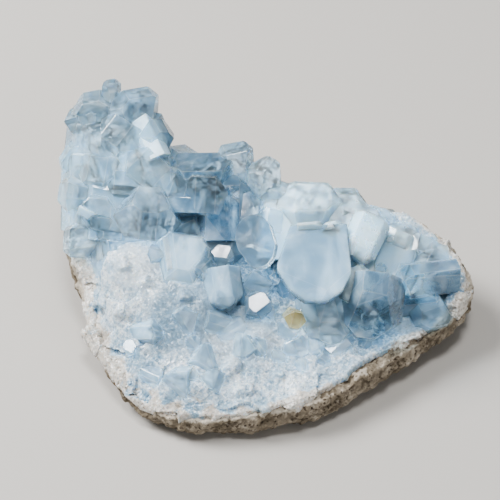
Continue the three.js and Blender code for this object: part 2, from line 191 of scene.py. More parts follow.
def add_sockets(group, way, kind, sockets):
    """Adds sockets of one kind to a node group, each with a first value or None."""
    for label, value in sockets.items():
        socket = group.interface.new_socket(label, in_out=way, socket_type="NodeSocket" + kind)
        if value is not None:
            socket.default_value = value


def maths(tree, operation, a, b):
    return add_node(tree, "ShaderNodeMath", {0: a, 1: b}, operation=operation).outputs[0]


def vector_maths(tree, operation, a, b):
    """The outputs of a calculation with vectors: a vector, and a number under Value."""
    return add_node(tree, "ShaderNodeVectorMath", {0: a, 1: b}, operation=operation).outputs


def noise(tree, place, pattern):
    """A smooth uneven value at each place, mostly near a half."""
    return add_node(tree, "ShaderNodeTexNoise", {"Vector": place, **pattern}).outputs[0]


def cells(tree, place, size):
    """Cells of a size: the place and the colour of each, and how far it is from its middle."""
    scale = maths(tree, "DIVIDE", 1.0, size)
    return add_node(tree, "ShaderNodeTexVoronoi", {"Vector": place, "Scale": scale}).outputs


def tilts(tree, place, cell):
    """The height of flat facets, one for each cell, that all slope their own way."""
    across = vector_maths(tree, "SUBTRACT", place, cell["Position"])[0]
    tilt = vector_maths(tree, "SUBTRACT", cell["Color"], (0.5, 0.5, 0.5))[0]
    return vector_maths(tree, "DOT_PRODUCT", across, tilt)["Value"]


def plain_mesh(piece):
    """The mesh that a piece's modifiers make."""
    depsgraph = bpy.context.evaluated_depsgraph_get()
    return bpy.data.meshes.new_from_object(piece.evaluated_get(depsgraph))


def grown(piece, tree, material, sizes):
    """The plain mesh that a geometry node tree makes from a piece, in a material and with the
    named sizes."""
    modifier = piece.modifiers.new(tree.name, "NODES")
    modifier.node_group = tree
    given = {"Material": material, **sizes}
    for item in tree.interface.items_tree:
        if item.in_out == "INPUT" and item.name in given:
            modifier[item.identifier] = given[item.name]
    return plain_mesh(piece)


def broken_surface():
    """Breaks up a finely meshed surface: flat tilted facets of two sizes, lumps, and grains,
    all scaled by the attribute rough. It leaves how far each point stands out from those
    around it as the attribute raised."""
    tree = bpy.data.node_groups.new("Broken Surface", "GeometryNodeTree")
    add_sockets(tree, "INPUT", "Geometry", {"Geometry": None})
    add_sockets(tree, "INPUT", "Material", {"Material": None})
    add_sockets(tree, "INPUT", "Float", RIND_SURFACE)
    add_sockets(tree, "OUTPUT", "Geometry", {"Geometry": None})
    given = add_node(tree, "NodeGroupInput").outputs
    position = add_node(tree, "GeometryNodeInputPosition").outputs[0]
    normal = add_node(tree, "GeometryNodeInputNormal").outputs[0]

    def facets(kind):
        size, height = given[kind + " Size"], given[kind + " Height"]
        slope = tilts(tree, position, cells(tree, position, size))
        steepness = maths(tree, "MULTIPLY", maths(tree, "DIVIDE", height, size), 2.0)
        return maths(tree, "MULTIPLY", slope, steepness)

    lump_scale = maths(tree, "DIVIDE", 1.0, given["Lump Size"])
    uneven_lumps = noise(tree, position, {"Scale": lump_scale, "Detail": LUMP_DETAIL})
    centred = maths(tree, "MULTIPLY", maths(tree, "SUBTRACT", uneven_lumps, 0.5), 2.0)
    lumps = maths(tree, "MULTIPLY", centred, given["Lump Height"])
    grain = cells(tree, position, given["Grain Size"])["Distance"]
    grains = maths(tree, "MULTIPLY", maths(tree, "SUBTRACT", 0.5, grain), given["Grain Height"])
    height = maths(tree, "ADD", facets("Break"), facets("Chip"))
    height = maths(tree, "ADD", maths(tree, "ADD", height, lumps), grains)
    rough = add_node(tree, "GeometryNodeInputNamedAttribute", {"Name": "rough"}).outputs[0]
    height = maths(tree, "MULTIPLY", height, rough)
    offset = add_node(
        tree, "ShaderNodeVectorMath", {0: normal, "Scale": height}, operation="SCALE"
    ).outputs[0]
    moved = add_node(
        tree, "GeometryNodeSetPosition", {"Geometry": given["Geometry"], "Offset": offset}
    ).outputs[0]
    above_floor = vector_maths(tree, "MAXIMUM", position, LOWEST)[0]
    rested = add_node(
        tree, "GeometryNodeSetPosition", {"Geometry": moved, "Position": above_floor}
    ).outputs[0]
    around = add_node(
        tree, "GeometryNodeBlurAttribute", {0: position, "Iterations": AROUND}, data_type="FLOAT_VECTOR"
    ).outputs[0]
    apart = vector_maths(tree, "SUBTRACT", position, around)[0]
    out = vector_maths(tree, "DOT_PRODUCT", apart, normal)["Value"]
    raised = {"Geometry": rested, "Name": "raised", "Value": maths(tree, "MULTIPLY", out, 1 / MM)}
    stored = add_node(tree, "GeometryNodeStoreNamedAttribute", raised).outputs[0]
    whole = add_node(tree, "GeometryNodeRealizeInstances", {"Geometry": stored}).outputs[0]
    surface = {"Geometry": whole, "Material": given["Material"]}
    covered = add_node(tree, "GeometryNodeSetMaterial", surface).outputs[0]
    add_node(tree, "NodeGroupOutput", {"Geometry": covered})
    return tree


def mesh_of(block, name):
    """A mesh of what is in a block, which is then done with."""
    mesh = bpy.data.meshes.new(name)
    block.to_mesh(mesh)
    block.free()
    return mesh


def even_faces(mesh, voxel):
    """A closed mesh made over again with small faces of an even size."""
    piece = new_object("uneven faces", mesh)
    modifier = piece.modifiers.new("even faces", "REMESH")
    modifier.mode = "VOXEL"
    modifier.voxel_size = voxel
    made = plain_mesh(piece)
    bpy.data.objects.remove(piece)
    return made


def round_edge(turns):
    """The columns of EDGE at each turn from 0 to 1 round the outline, as a smooth curve."""
    edge = np.array(EDGE)
    at = np.mod(turns, 1) * len(edge)
    first = np.floor(at).astype(int)
    f = (at - first)[:, None]
    a, b, c, d = (edge[(first + k) % len(edge)] for k in (-1, 0, 1, 2))
    square = 2 * a - 5 * b + 4 * c - d
    cube = 3 * b - a - 3 * c + d
    return 0.5 * (2 * b + (c - a) * f + square * f**2 + cube * f**3)


def smooth_step(x, least, most):
    share = np.clip((x - least) / (most - least), 0, 1)
    return share * share * (3 - 2 * share)


def near_mean(plan, rows, reach, column=2):
    """At each plan point, the mean of a column of the rows, weighed by how near each row's x
    and y are."""
    rows = np.array(rows, dtype=float)
    far = ((plan[:, None, :] - rows[None, :, :2]) ** 2).sum(axis=2)
    weight = np.exp(-far / (2 * reach**2)) + LEAST_WEIGHT
    return (weight * rows[:, column]).sum(axis=1) / weight.sum(axis=1)


def set_values(mesh, **values):
    """Gives a mesh one number for each of its points under each name."""
    for name, numbers in values.items():
        mesh.attributes.new(name, "FLOAT", "POINT").data.foreach_set("value", numbers)


def points_of(mesh):
    """A mesh's points in millimetres, one to a row."""
    points = np.empty(len(mesh.vertices) * 3)
    mesh.vertices.foreach_get("co", points)
    return points.reshape(-1, 3) / MM


def nearest_edge(points):
    """For each point, its distance in plan from the broken edge, and the edge's top there."""
    distance = np.full(len(points), np.inf)
    top = np.zeros(len(points))
    for x, y, _low, high, _bare in round_edge(np.arange(EDGE_POINTS) / EDGE_POINTS):
        here = np.hypot(points[:, 0] - x, points[:, 1] - y)
        top = np.where(here < distance, high, top)
        distance = np.minimum(distance, here)
    return distance, top


def attribute(tree, name):
    return add_node(tree, "ShaderNodeAttribute", attribute_name=name).outputs["Fac"]


def object_place(tree):
    return add_node(tree, "ShaderNodeTexCoord").outputs["Object"]


def spread(tree, value, least, most, low=0.0, high=1.0):
    """A value taken from the range least to most onto the range low to high."""
    ends = {"From Min": least, "From Max": most, "To Min": low, "To Max": high}
    return add_node(tree, "ShaderNodeMapRange", {"Value": value, **ends}).outputs[0]


def blend(tree, share, colour, other, blend_type="MIX"):
    values = {"Factor": share, 6: colour, 7: other}
    kinds = {"data_type": "RGBA", "blend_type": blend_type}
    return add_node(tree, "ShaderNodeMix", values, **kinds).outputs[2]


def bumped(tree, height, bump):
    """Normals that follow a height."""
    return add_node(tree, "ShaderNodeBump", {"Height": height, **bump}).outputs[0]


def sand_group():
    """Sand in a rock as a shader group: a colour for each grain, and the grains' height."""
    group = bpy.data.node_groups.new("Sand", "ShaderNodeTree")
    add_sockets(group, "INPUT", "Color", SAND)
    add_sockets(group, "INPUT", "Float", {"Grain Size": SAND_GRAIN})
    add_sockets(group, "OUTPUT", "Color", {"Color": None})
    add_sockets(group, "OUTPUT", "Float", {"Height": None})
    given = add_node(group, "NodeGroupInput").outputs
    place = object_place(group)
    grain = cells(group, place, given["Grain Size"])
    each = add_node(group, "ShaderNodeSeparateColor", {0: grain["Color"]}).outputs
    patches = spread(group, noise(group, place, SAND_PATCHES), *PALE_PATCHES)
    lighter = blend(group, patches, given["Base"], given["Pale"])
    specked = blend(group, spread(group, each[0], *DARK_GRAINS), lighter, given["Dark"])
    values = {"Color": specked, "Value": spread(group, each[1], *GRAIN_VALUES)}
    shaded = add_node(group, "ShaderNodeHueSaturation", values).outputs[0]
    height = maths(group, "SUBTRACT", 1.0, grain["Distance"])
    add_node(group, "NodeGroupOutput", {"Color": shaded, "Height": height})
    return group


def sand_in(tree, colours):
    """The outputs of the sand group placed in a material, with its colours."""
    values = {"Grain Size": SAND_GRAIN, **colours}
    return add_node(tree, "ShaderNodeGroup", values, node_tree=sand_nodes).outputs


sand_nodes = sand_group()
rind_material, tree = new_material("sandy rock")
sand = sand_in(tree, SAND)
# Painted shade in the hollows, and lighter wear on what stands out.
wear_and_shade = blend(tree, spread(tree, attribute(tree, "raised"), *WORN_AND_SHADED), SHADED_HOLLOW_TINT, WORN_TINT)
worn_and_shaded_sand = blend(tree, 1.0, sand["Color"], wear_and_shade, "MULTIPLY")
teeth = spread(tree, noise(tree, object_place(tree), TEETH), *TEETH_REACH)
dustiness = spread(tree, maths(tree, "ADD", attribute(tree, "dust"), teeth), *DUSTY)
dust = blend(tree, SAND_IN_DUST, DUST_COLOUR, worn_and_shaded_sand)
sandy_look = {
    "Base Color": blend(tree, dustiness, worn_and_shaded_sand, dust),
    "Roughness": RIND_ROUGHNESS,
    "Normal": bumped(tree, sand["Height"], RIND_BUMP),
}
add_surface(tree, sandy_look)

rock = bmesh.new()
rock.from_mesh(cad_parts["matrix_rock"].data)
bmesh.ops.remove_doubles(rock, verts=rock.verts[:], dist=MERGED)
smooth_rock = new_object("smooth rock", even_faces(mesh_of(rock, "rock"), RIND_VOXEL))
set_values(smooth_rock.data, rough=np.ones(len(smooth_rock.data.vertices)))
break_up = broken_surface()
rind = new_object("rind", grown(smooth_rock, break_up, rind_material, RIND_SURFACE))
bpy.data.objects.remove(smooth_rock)
points = points_of(rind.data)
_distance, top = nearest_edge(points)
depths = near_mean(points[:, :2], DUST_DEPTHS, DUST_REACH)
set_values(rind.data, dust=smooth_step(points[:, 2] - top + depths, 0, DUST_FADE))
rind.data.shade_smooth()
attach(rind, "root")
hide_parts("matrix_rock")

# Crystals. Clear, pale blue celestite with flat faces and a wedge at the tip, milky towards the
# root. Each is a block cut by its faces, with the angles that celestite has. Large and small,
# they grew into each other, so they are joined in one clear solid.
CRUST_LEVELS = [  # x, y, height of the mass between and under the crystals
    (-48, 16, 24), (-46, 4, 17), (-43, -6, 10), (-35, -18, 9.5), (-35, -13, 14),
    (-35, -5.5, 19.5), (-35, 3, 24.5), (-31, 7, 26.5), (-28, -22, 10), (-27, -12, 17.5),
    (-26, -3, 22.5), (-20, -22, 12), (-19, -16, 15), (-19, -5, 20.5), (-18, 6.5, 23.5),
    (-31, 14, 24), (-20, 14, 20), (-40, 18, 27), (-47, 26, 29), (-41, 27, 34),
    (-33, 28, 35), (-40, 36, 36), (-31, 36, 37), (-25, 28, 30), (-24, 35, 29),
    (-12, 12, 19), (-4, 14, 18), (-4, 7, 16), (-10, 20, 24), (-8, 29, 26),
    (0, 26, 25), (8, 26, 25), (-6, -20, 10.5), (-6, -11, 14.5), (-4, -1, 14.5),
    (4, 2, 14), (8, -6, 13), (8, -17, 10.5), (0, -25, 8.5), (13, 4, 15),
    (14, 14, 22), (20, 20, 22), (27, 20, 21), (30, 10, 18), (22, 2, 15.5),
    (20, -8, 12), (16, -16, 10.5), (22.5, -13, 9.5), (28, -10, 10), (34, -2, 10.5),
    (38, 3, 12.5), (39, -5, 10.5), (44, 3, 13), (41, 12, 17), (46, 9, 15),
]
MIDDLE = np.array((-2.0, 3.0))
LEVEL_REACH = 4  # how far round it a row counts, here and below
EDGE_LIPS = [  # x, y, how far the top of the mass's rim stands above the rock's edge
    (42, 20, 3), (33, 25, 3.2), (20, 29, 2.5), (6, 31, 1.5), (-50, 22, 2), (-48, 34, 2),
    (0, -31, 1.2), (-33, -22, 1.2), (30, -15, 1.2), (51, 7, 2),
]
LIP_REACH = 8
FALL_STARTS = 0.84  # past this share of the way to the edge the mass falls to its rim
MASSIVE = 1.0  # the milkiness of a crystal that is part of the massive celestite
# The large crystals. Each grows one way, its broad side looks another, and its size is its length,
# width and thickness. Flat is 0 for a sharp wedge at the tip and 1 for a level end.
CRYSTALS = [  # name, tip, grows, looks, size, flat, blueness (deeper where shade is painted in), milkiness
    ("top nub", (-38, 39, 51), (0.05, 0.1, 1), (0.3, -0.9, 0.2), (16, 4.2, 4), 0.3, 0.5, 0.3),
    ("outer shard", (-46, 36, 43.5), (-0.4, 0.1, 0.9), (-0.3, -0.9, 0.3), (18, 11, 8), 0.5, 0.1, 0.6),
    ("upper shard", (-43, 37, 47), (-0.2, 0.1, 0.97), (0, -0.95, 0.3), (20, 11, 8), 0.5, 0.5, 0.6),
    ("striated crystal", (-32, 37, 48.5), (0.1, 0.1, 0.98), (0.45, -0.85, 0.3), (24, 12, 9), 0.45, 0.55, 0.9),
    ("tower shoulder", (-25.5, 31, 43), (0.45, -0.05, 0.9), (0.6, -0.75, 0.3), (18, 10, 8), 0.2, 0.5, 0.4),
    ("tower face", (-41, 31, 42), (-0.15, -0.4, 0.9), (0, -0.8, 0.6), (13, 12, 9), 0.3, 0.75, 0.5),
    ("lower tower face", (-38, 27, 39), (0.05, -0.55, 0.83), (0, 0.6, 0.8), (16, 14, 9), 0.5, 0.7, 0.5),
    ("window crystal", (-41, 13, 30.5), (-0.05, -0.75, 0.6), (0.1, 0.6, 0.8), (14, 9.5, 8), 0.5, 0.35, 0.3),
    ("milky prism", (-28.5, 8, 31), (0.1, -0.9, 0.35), (0.15, 0.35, 0.92), (26, 15, 13), 0.2, 0.35, 0.75),
    ("deep blue prism", (-15.5, 17, 30.5), (0.1, -0.75, 0.6), (0.05, 0.6, 0.75), (17, 14, 13), 0.3, 0.65, 0.5),
    ("deep blue back", (-16, 27, 35.5), (0.05, 0.05, 1), (0.1, -0.95, 0.2), (20, 14, 9), 0.85, 0.9, 0.3),
    ("flat topped block", (-8, 31, 36), (-0.05, 0.1, 1), (0.25, -0.95, 0.1), (15, 8.5, 8), 0.7, 0.45, 0.5),
    ("bright tip", (-0.3, 27, 33.5), (0.1, -0.1, 1), (-0.5, -0.85, 0.1), (14, 9, 8), 0.2, 0.1, 0.5),
    ("shaded block", (-10.8, 14, 25.5), (0, -0.5, 0.85), (0.3, 0.4, 0.85), (14, 12, 9), 0.3, 1, 0.2),
    ("rounded plate", (-0.5, 2.5, 22.6), (0.25, -0.85, -0.35), (-0.35, -0.4, 0.85), (14, 9.5, 2), 0.4, 0.7, 0),
    ("great plate", (12, -9, 22.6), (0.05, -0.95, -0.25), (0.04, -0.3, 0.95), (21, 17.8, 2), 0.35, 0.55, 0.7),
    ("icy mass", (10.5, 21.5, 29.5), (0.05, 0, 1), (0, -0.95, 0.1), (15.5, 16, 15), 0.6, 0, 0.95),
    ("icy shoulder", (21, 21.5, 26), (0.2, -0.1, 0.95), (0.3, -0.9, 0.1), (15, 12, 9), 0.5, 0, 0.95),
    ("white blade", (21.5, 5, 22.3), (-0.35, -0.75, -0.3), (0.2, -0.4, 0.88), (12, 9, 5), 0.3, 0, 0.95),
    ("right shoulder", (33, 13, 23), (0.15, -0.5, 0.85), (-0.3, -0.9, -0.1), (13, 9, 8), 0.4, 0, 0.9),
    ("right lip", (39.5, 12, 20.5), (0.3, -0.4, 0.85), (-0.2, -0.9, -0.2), (12, 9, 7), 0.4, 0.1, 0.7),
    ("lying prism", (31.5, 1, 19), (-0.9, -0.35, 0.2), (0.3, -0.1, 0.93), (16, 9, 8.5), 0.3, 0.95, 0.2),
    ("dark prism", (24, -11.5, 12.5), (-0.12, -0.8, -0.5), (0, -0.5, 0.86), (15.5, 13.5, 11), 0.3, 0.9, 0.15),
    ("broken knob", (21.5, -2.5, 22), (0, -0.6, 0.8), (0.5, 0.5, 0.6), (12, 10, 9), 0.5, 0, 0.9),
    ("ridge shell", (-19.5, 9, 27.5), (0.15, 0.6, 0.75), (0.05, -0.75, 0.65), (15, 12.5, 8), 0.6, 0.3, 0.97),
    ("ridge block", (-31, 7, 27), (-0.1, 0.5, 0.8), (0.1, -0.75, 0.65), (14, 13, 8), 0.6, 0.25, MASSIVE),
    ("broad face", (-19.5, -15.5, 13), (0.05, -0.85, -0.5), (0, -0.42, 0.9), (16, 16.5, 9), 0.3, 0.85, MASSIVE),
    ("rhomb block", (-9.5, -6, 17), (0.15, -0.8, -0.5), (0, -0.45, 0.9), (10, 8.5, 7), 0.3, 0.6, 0.95),
    ("mirror stub", (-10.7, 7, 23.5), (0.05, -0.35, 0.93), (0.1, 0.9, 0.35), (9, 5.4, 4.2), 0.9, 0.5, 0.3),
    ("mirror block", (-1.9, -4.8, 19), (0.05, -0.35, 0.93), (0.5, -0.7, 0.3), (10, 7.5, 6.5), 0.9, 0.75, 0.3),
    ("valley stub", (-2, 2, 18), (0.1, -0.3, 0.9), (0.6, -0.5, 0.3), (9, 8, 7), 0.5, 0.7, 0.4),
    ("pale prism", (16.2, -12.5, 11.5), (0.2, -0.85, -0.45), (0, -0.45, 0.9), (17, 10, 8), 0.4, 0.3, 0.5),
    ("amber stub", (7, -9, 16.6), (0.1, -0.7, 0.6), (0.2, 0.6, 0.7), (9, 5, 4), 0.4, 0.1, 0.2),
    ("front block", (-5.5, -16, 10.5), (0, -0.85, -0.45), (0.1, -0.45, 0.88), (11, 15, 6), 0.3, 0.4, MASSIVE),
    ("rim block", (38, -7, 10.5), (0.2, -0.8, 0.2), (0.1, 0, 0.95), (10, 13, 6), 0.5, 0.4, MASSIVE),
    ("left edge high", (-50, 29, 36), (-0.75, -0.1, 0.6), (0.2, -0.9, 0.3), (14, 9, 8), 0.5, 0.2, 0.7),
    ("left edge", (-50, 20, 31.5), (-0.85, -0.2, 0.4), (0.2, -0.6, 0.7), (13, 9, 8), 0.5, 0.2, 0.7),
    ("left edge low", (-49, 11.5, 24.5), (-0.85, -0.3, 0.4), (0.2, -0.6, 0.7), (12, 9, 8), 0.5, 0.2, 0.7),
    ("tower back", (-36.5, 41, 38), (0, 0.5, 0.8), (0, 0.8, -0.6), (16, 12, 9), 0.3, 0.4, 0.6),
    ("back edge", (-20, 34, 33), (0, 0.4, 0.9), (0.4, -0.7, 0.5), (14, 11, 9), 0.4, 0.4, 0.6),
]
LOBE_FILLERS = [  # smaller crystals between those, in the same columns
    ("bright face", (-33, 37, 44.2), (-0.43, 0.78, 0.46), (0.05, -0.38, 0.92), (15, 6.5, 4), 0, 0.1, 0.9),
    ("", (-40, 11.2, 29.8), (0.1, -0.75, 0.6), (0.1, 0.6, 0.75), (9, 6, 5), 0.6, 1, 0.1),
    ("bright bar", (-41, 12.5, 29.5), (0.85, -0.45, -0.2), (0.05, -0.38, 0.92), (5, 2.6, 3), 0.7, 0.1, 0.9),
    ("bright bar", (13.5, 11, 28.7), (0.97, 0.1, 0.02), (0.05, -0.38, 0.92), (6, 2.2, 3), 0.8, 0.1, 0.9),
    ("bright bar", (18.4, 13.2, 27.7), (0.6, 0.7, 0.25), (0.05, -0.38, 0.92), (6, 5, 3), 0, 0.1, 0.9),
    ("", (-35.5, 28.5, 44), (0, -0.45, 0.88), (-0.4, -0.8, 0.3), (16, 12, 9), 0.4, 0.55, 0.6),
    ("", (-28.5, 21.5, 37.5), (0.2, -0.6, 0.75), (0.7, 0.4, 0.6), (15, 12, 9), 0.5, 0.5, 0.6),
    ("", (-41.5, 22.5, 38), (-0.2, -0.55, 0.8), (0.1, 0.6, 0.7), (15, 12, 9), 0.4, 0.5, 0.5),
    ("", (-34, 20, 36), (0, -0.6, 0.8), (0.1, 0.7, 0.7), (14, 13, 9), 0.5, 0.55, 0.6),
    ("", (-44.5, 13.5, 28.5), (-0.3, -0.6, 0.7), (0.2, 0.6, 0.7), (13, 9, 8), 0.5, 0.3, 0.5),
    ("", (-37, 10, 28), (0, -0.7, 0.7), (0.1, 0.6, 0.8), (13, 10, 8), 0.5, 0.6, 0.4),
    ("", (-21.5, 20, 33), (0.15, -0.6, 0.8), (0.3, 0.6, 0.7), (14, 9, 8), 0.4, 0.6, 0.4),
    ("", (-5.5, 19, 28), (0.1, -0.4, 0.9), (-0.3, 0.6, 0.7), (13, 9, 8), 0.4, 0.4, 0.5),
    ("", (2.5, 17, 25.5), (0.1, -0.5, 0.85), (0.2, 0.6, 0.7), (13, 9, 8), 0.5, 0.3, 0.5),
    ("", (26.5, 15.5, 24.5), (0.1, -0.3, 0.95), (-0.2, -0.8, 0.4), (13, 10, 8), 0.5, 0.1, 0.7),
    ("", (29, 20.5, 23.5), (0.2, 0.1, 0.95), (0.1, -0.9, 0.3), (13, 10, 8), 0.5, 0.1, 0.8),
    ("", (36, 16, 21.5), (0.3, 0, 0.95), (0.1, -0.9, 0.3), (12, 9, 8), 0.5, 0.1, 0.8),
    ("", (43.5, 10.5, 19), (0.4, -0.2, 0.85), (0.1, -0.9, 0.3), (12, 9, 7), 0.5, 0.2, 0.7),
    ("", (-41, 41, 40.4), (0.1, 0.75, 0.65), (-0.25, -0.6, 0.75), (20, 17, 13), 0.5, 0.35, 0.6),
    ("", (-40, 37, 39.3), (-0.2, 0.7, 0.7), (0.15, -0.65, 0.75), (20, 18, 13), 0.5, 0.45, 0.5),
    ("", (-32, 39, 41.0), (0.1, 0.8, 0.6), (0.35, -0.55, 0.75), (20, 15, 12), 0.5, 0.3, 0.6),
    ("", (-32, 35, 38.3), (-0.3, 0.7, 0.65), (0.45, -0.5, 0.7), (18, 14, 12), 0.5, 0.35, 0.5),
    ("", (-35, 31, 35.0), (0.2, 0.7, 0.7), (0.1, -0.6, 0.8), (20, 20, 13), 0.5, 0.4, 0.7),
    ("", (-43, 31, 33.3), (0, 0.75, 0.65), (-0.2, -0.6, 0.78), (18.5, 15, 12), 0.5, 0.3, 0.7),
    ("", (-40.5, 24, 27.5), (0.1, 0.8, 0.6), (-0.1, -0.6, 0.8), (13, 12, 12), 0.5, 0.4, 0.5),
    ("", (-36, 21, 26.5), (-0.2, 0.8, 0.6), (0.1, -0.6, 0.8), (18, 18, 12), 0.5, 0.5, 0.4),
    ("", (-22, 29, 32.3), (0, 0.8, 0.6), (0.1, -0.65, 0.75), (13, 17, 10), 0.5, 0.8, 0.4),
    ("", (-11, 28, 28), (0, 0.85, 0.5), (0, -0.65, 0.75), (17, 15, 9), 0.5, 1, 0.4),
    ("icy block", (8, 26, 24.5), (0.1, 0.85, 0.52), (-0.2, -0.6, 0.8), (18, 19, 10), 0.5, 0.1, 0.9),
    ("icy block", (22, 23, 22), (0.1, 0.9, 0.4), (0.05, -0.55, 0.83), (18, 17, 9), 0.5, 0.1, 0.8),
    ("", (34, 19, 19.5), (0.3, 0.85, 0.4), (0.15, -0.5, 0.85), (17, 14, 8), 0.5, 0.15, 0.7),
    ("", (43, 12, 17.5), (0.5, 0.7, 0.4), (0.3, -0.35, 0.85), (13, 10, 7), 0.5, 0.3, 0.6),
    ("mirror chip", (-32, -15, 14), (0.05, -0.35, 0.93), (0.7, -0.5, 0.3), (7, 4, 3.6), 0.9, 0.2, 0.6),
    ("icy block", (2.5, 26.5, 28.6), (0.1, 0, 1), (-0.2, -0.8, 0.5), (12, 10, 8), 0.5, 0.1, 0.9),
    ("", (20.5, 24, 26), (0.1, 0, 1), (0.1, -0.9, 0.2), (13, 11, 8), 0.5, 0.1, 0.8),
    ("", (-19, 13.5, 24), (0, -0.7, 0.7), (0.25, -0.6, 0.75), (13, 17, 9), 0.2, 0.5, 0.9),
    ("", (-11, 11, 23), (0, -0.5, 0.85), (0.2, 0.5, 0.8), (10, 12, 7), 0.4, 0.6, 0.8),
    ("", (-19, 18, 26), (0, -0.6, 0.8), (0.1, 0.6, 0.75), (10, 11, 7), 0.4, 0.5, 0.9),
    ("", (42, 1, 13.5), (0.95, 0.1, 0.05), (0, -0.5, 0.85), (12, 7, 5), 0.4, 1, 0.2),
    ("", (41.5, -6.5, 11), (0.3, -0.85, -0.2), (0.15, -0.3, 0.95), (9, 9, 5), 0.4, 0.6, 0.5),
]
FILLER_NUMBERS = 1000
SIDE_ANGLE = math.radians(52.1)  # between the thickness and the four sloping side faces
TIP_ANGLE = math.radians(38)  # between the length and the wedge's two faces
ROOF_ANGLE = math.radians(67.7)  # between the length and the shallow faces behind the wedge
CORNER_WAY = (0.451, 0.704, 0.549)  # which way the face on a corner looks
SIDE_VARIES, TIP_VARIES = 0.16, 0.8  # how much the faces' distances vary
ROOF_SHARE, CORNER_SHARE = (0.3, 0.95), (0.86, 1.08)  # how far out those faces are, from and to
BROADER = 1.12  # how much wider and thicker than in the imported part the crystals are
CRYSTAL_DRAWS = 40  # the most uneven numbers that one crystal takes
UNCUT = 4  # times a crystal's longest side: the block that it is cut from
CUT_NEAR = 1e-5  # corners closer to a cut than this are on it
PLATES = ("great plate", "rounded plate")  # flat crystals with a round end
# Which ways the faces round a plate's end look.
PLATE_TURNS = [math.radians(turn) for turn in (-90, -64, -40, -7, 7, 34, 62, 90, -110)]
PLATE_VARIES = 0.3
OVAL_PLATES = ("rounded plate",)  # round at both ends
PLATE_ROUNDNESS = 1.3  # length of the round end, as a share of half the width
FROSTED = (  # crystals that are hazy all over
    "bright tip", "bright face", "bright bar", "icy mass", "icy shoulder", "icy block",
)
GROWTH_STEPS = (4, 0.06, 0.3)  # how many low extra faces, their lean, and how deep they cut
BROKEN = {  # the same for crystals that are broken or have more steps
    "broken knob": (14, 0.6, 1.2), "white blade": (9, 0.5, 1.1), "great plate": (24, 0.05, 0.16),
    "ridge shell": (16, 0.5, 0.9), "rhomb block": (10, 0.35, 0.7),
    "mirror stub": (5, 0.2, 0.8), "mirror block": (12, 0.35, 0.9), "bright face": (6, 0.3, 0.5),
}
STEP_SEED = 100
END_FACES = 2  # a crystal's first faces, its two ends, have no growth steps
LEAST_STEP = 0.08
SPECK = 0.02  # edges shorter than this are taken out
EDGE_ROUND, PLATE_ROUND = (0.12, 1), (0.3, 2)  # width of a rounded edge, and its strips
EDGE_FROST = 0.6
HAZE_SEED = 700  # each face has a haze of its own
CLEARER = 2.4  # how much less haze there is the nearer a crystal's blueness, painted shade and all, is to a half
CRUST_TINTS = [  # x, y, blueness (also painted shade, bluer and darker in the recesses), whiteness of the sugary mass there
    (-47, 10, 0.3, 0.5), (-35, -1, 0.15, 0.9), (-34, -7, 0.2, 0.8), (-36, -12, 0.4, 0.5),
    (-28, -18, 0.55, 0.5), (-18, -21, 0.45, 0.5), (-13, -16, 0.4, 0.5), (-5, -17, 0.25, 0.6),
    (6, -14, 0.35, 0.5), (11.5, -17, 0.3, 0.5), (22, -14, 0.5, 0.5), (-4, 13, 0.9, 0),
    (0, -5, 0.7, 0.1), (8, -8, 0.45, 0.3), (31, 7, 0.9, 0.1), (46, 12, 0.4, 0.5),
    (21, 25, 0.1, 0.9), (5, 28, 0.1, 0.8), (-41, 21, 0.5, 0.2), (-25, 16, 0.9, 0),
    (-49, 22, 0.3, 0.6), (-49, 31, 0.3, 0.5), (36, 23, 0.1, 0.9), (46, 16, 0.15, 0.8),
    (37, 1, 1, 0), (44, 5, 0.9, 0), (42, -5, 0.8, 0.2), (-38, 35, 0.4, 0.2), (-10, 24, 0.7, 0.1),
    (0, -26, 0.2, 0.9),
]
TINT_REACH = 4.5
GOLDEN_TURN = 0.381966  # small crystals stand on a sunflower spiral
SPREAD = 0.95  # share of the way to the edge that they reach
CROWDING = 0.4  # below a half there are more of them towards the edge
STEP_OUT, STEP_ROUND = 0.03, 0.01  # steps from a crystal's foot that show which way the crust faces
UNEVEN_STEP, UNEVEN_START, UNEVEN_FINE = 12.9898, 4.1414, 43758.5453  # of the uneven numbers' rule
WAY_DRAWS, FIRST_WAY_DRAW = 7, 5000
SIZE_DRAWS = (7000, 7500, 8000)
LEAN = 1.1  # how far they lean from straight out
SMALL_FLAT = 0.2
SMALL_WIDTH, SMALL_THICK = (0.5, 0.8), (0.6, 0.9)
SMALL_MILK = 0.4  # a small crystal's milkiness where the crust isn't white
PACKED_SMALL = {"count": 68, "lengths": (7, 12), "first": 0}
GAP_FILLERS = {"count": 80, "lengths": (9, 14), "first": 300, "clear_only": True}
CLEAR_OUT, MASSIVE_OUT = 0.28, 0.13  # share of a small crystal's length that stands out
SUNK_IN_WHITE = 0.35  # how much less of it where the crust is white
DEEPEST = 8  # how far a small crystal goes down into the mass
# Small crystals that would come out of the rock, or hide a bright face.
LEFT_OUT = (9, 60, 63, 303, 342, 355, 361, 362)
CLEAR_WITHIN = 0.88  # past this share of the way to the edge no small crystals are clear
RECESS_BLUE = 0.8  # where the crust is bluer than this there is a recess, painted in shade, with no fillers
WHITE_ENOUGH = 0.56  # where the crust is whiter than this, small crystals are massive
CRYSTAL_LIGHT = (0.72, 0.79, 0.84, 1)  # what one face passes of a lamp's light
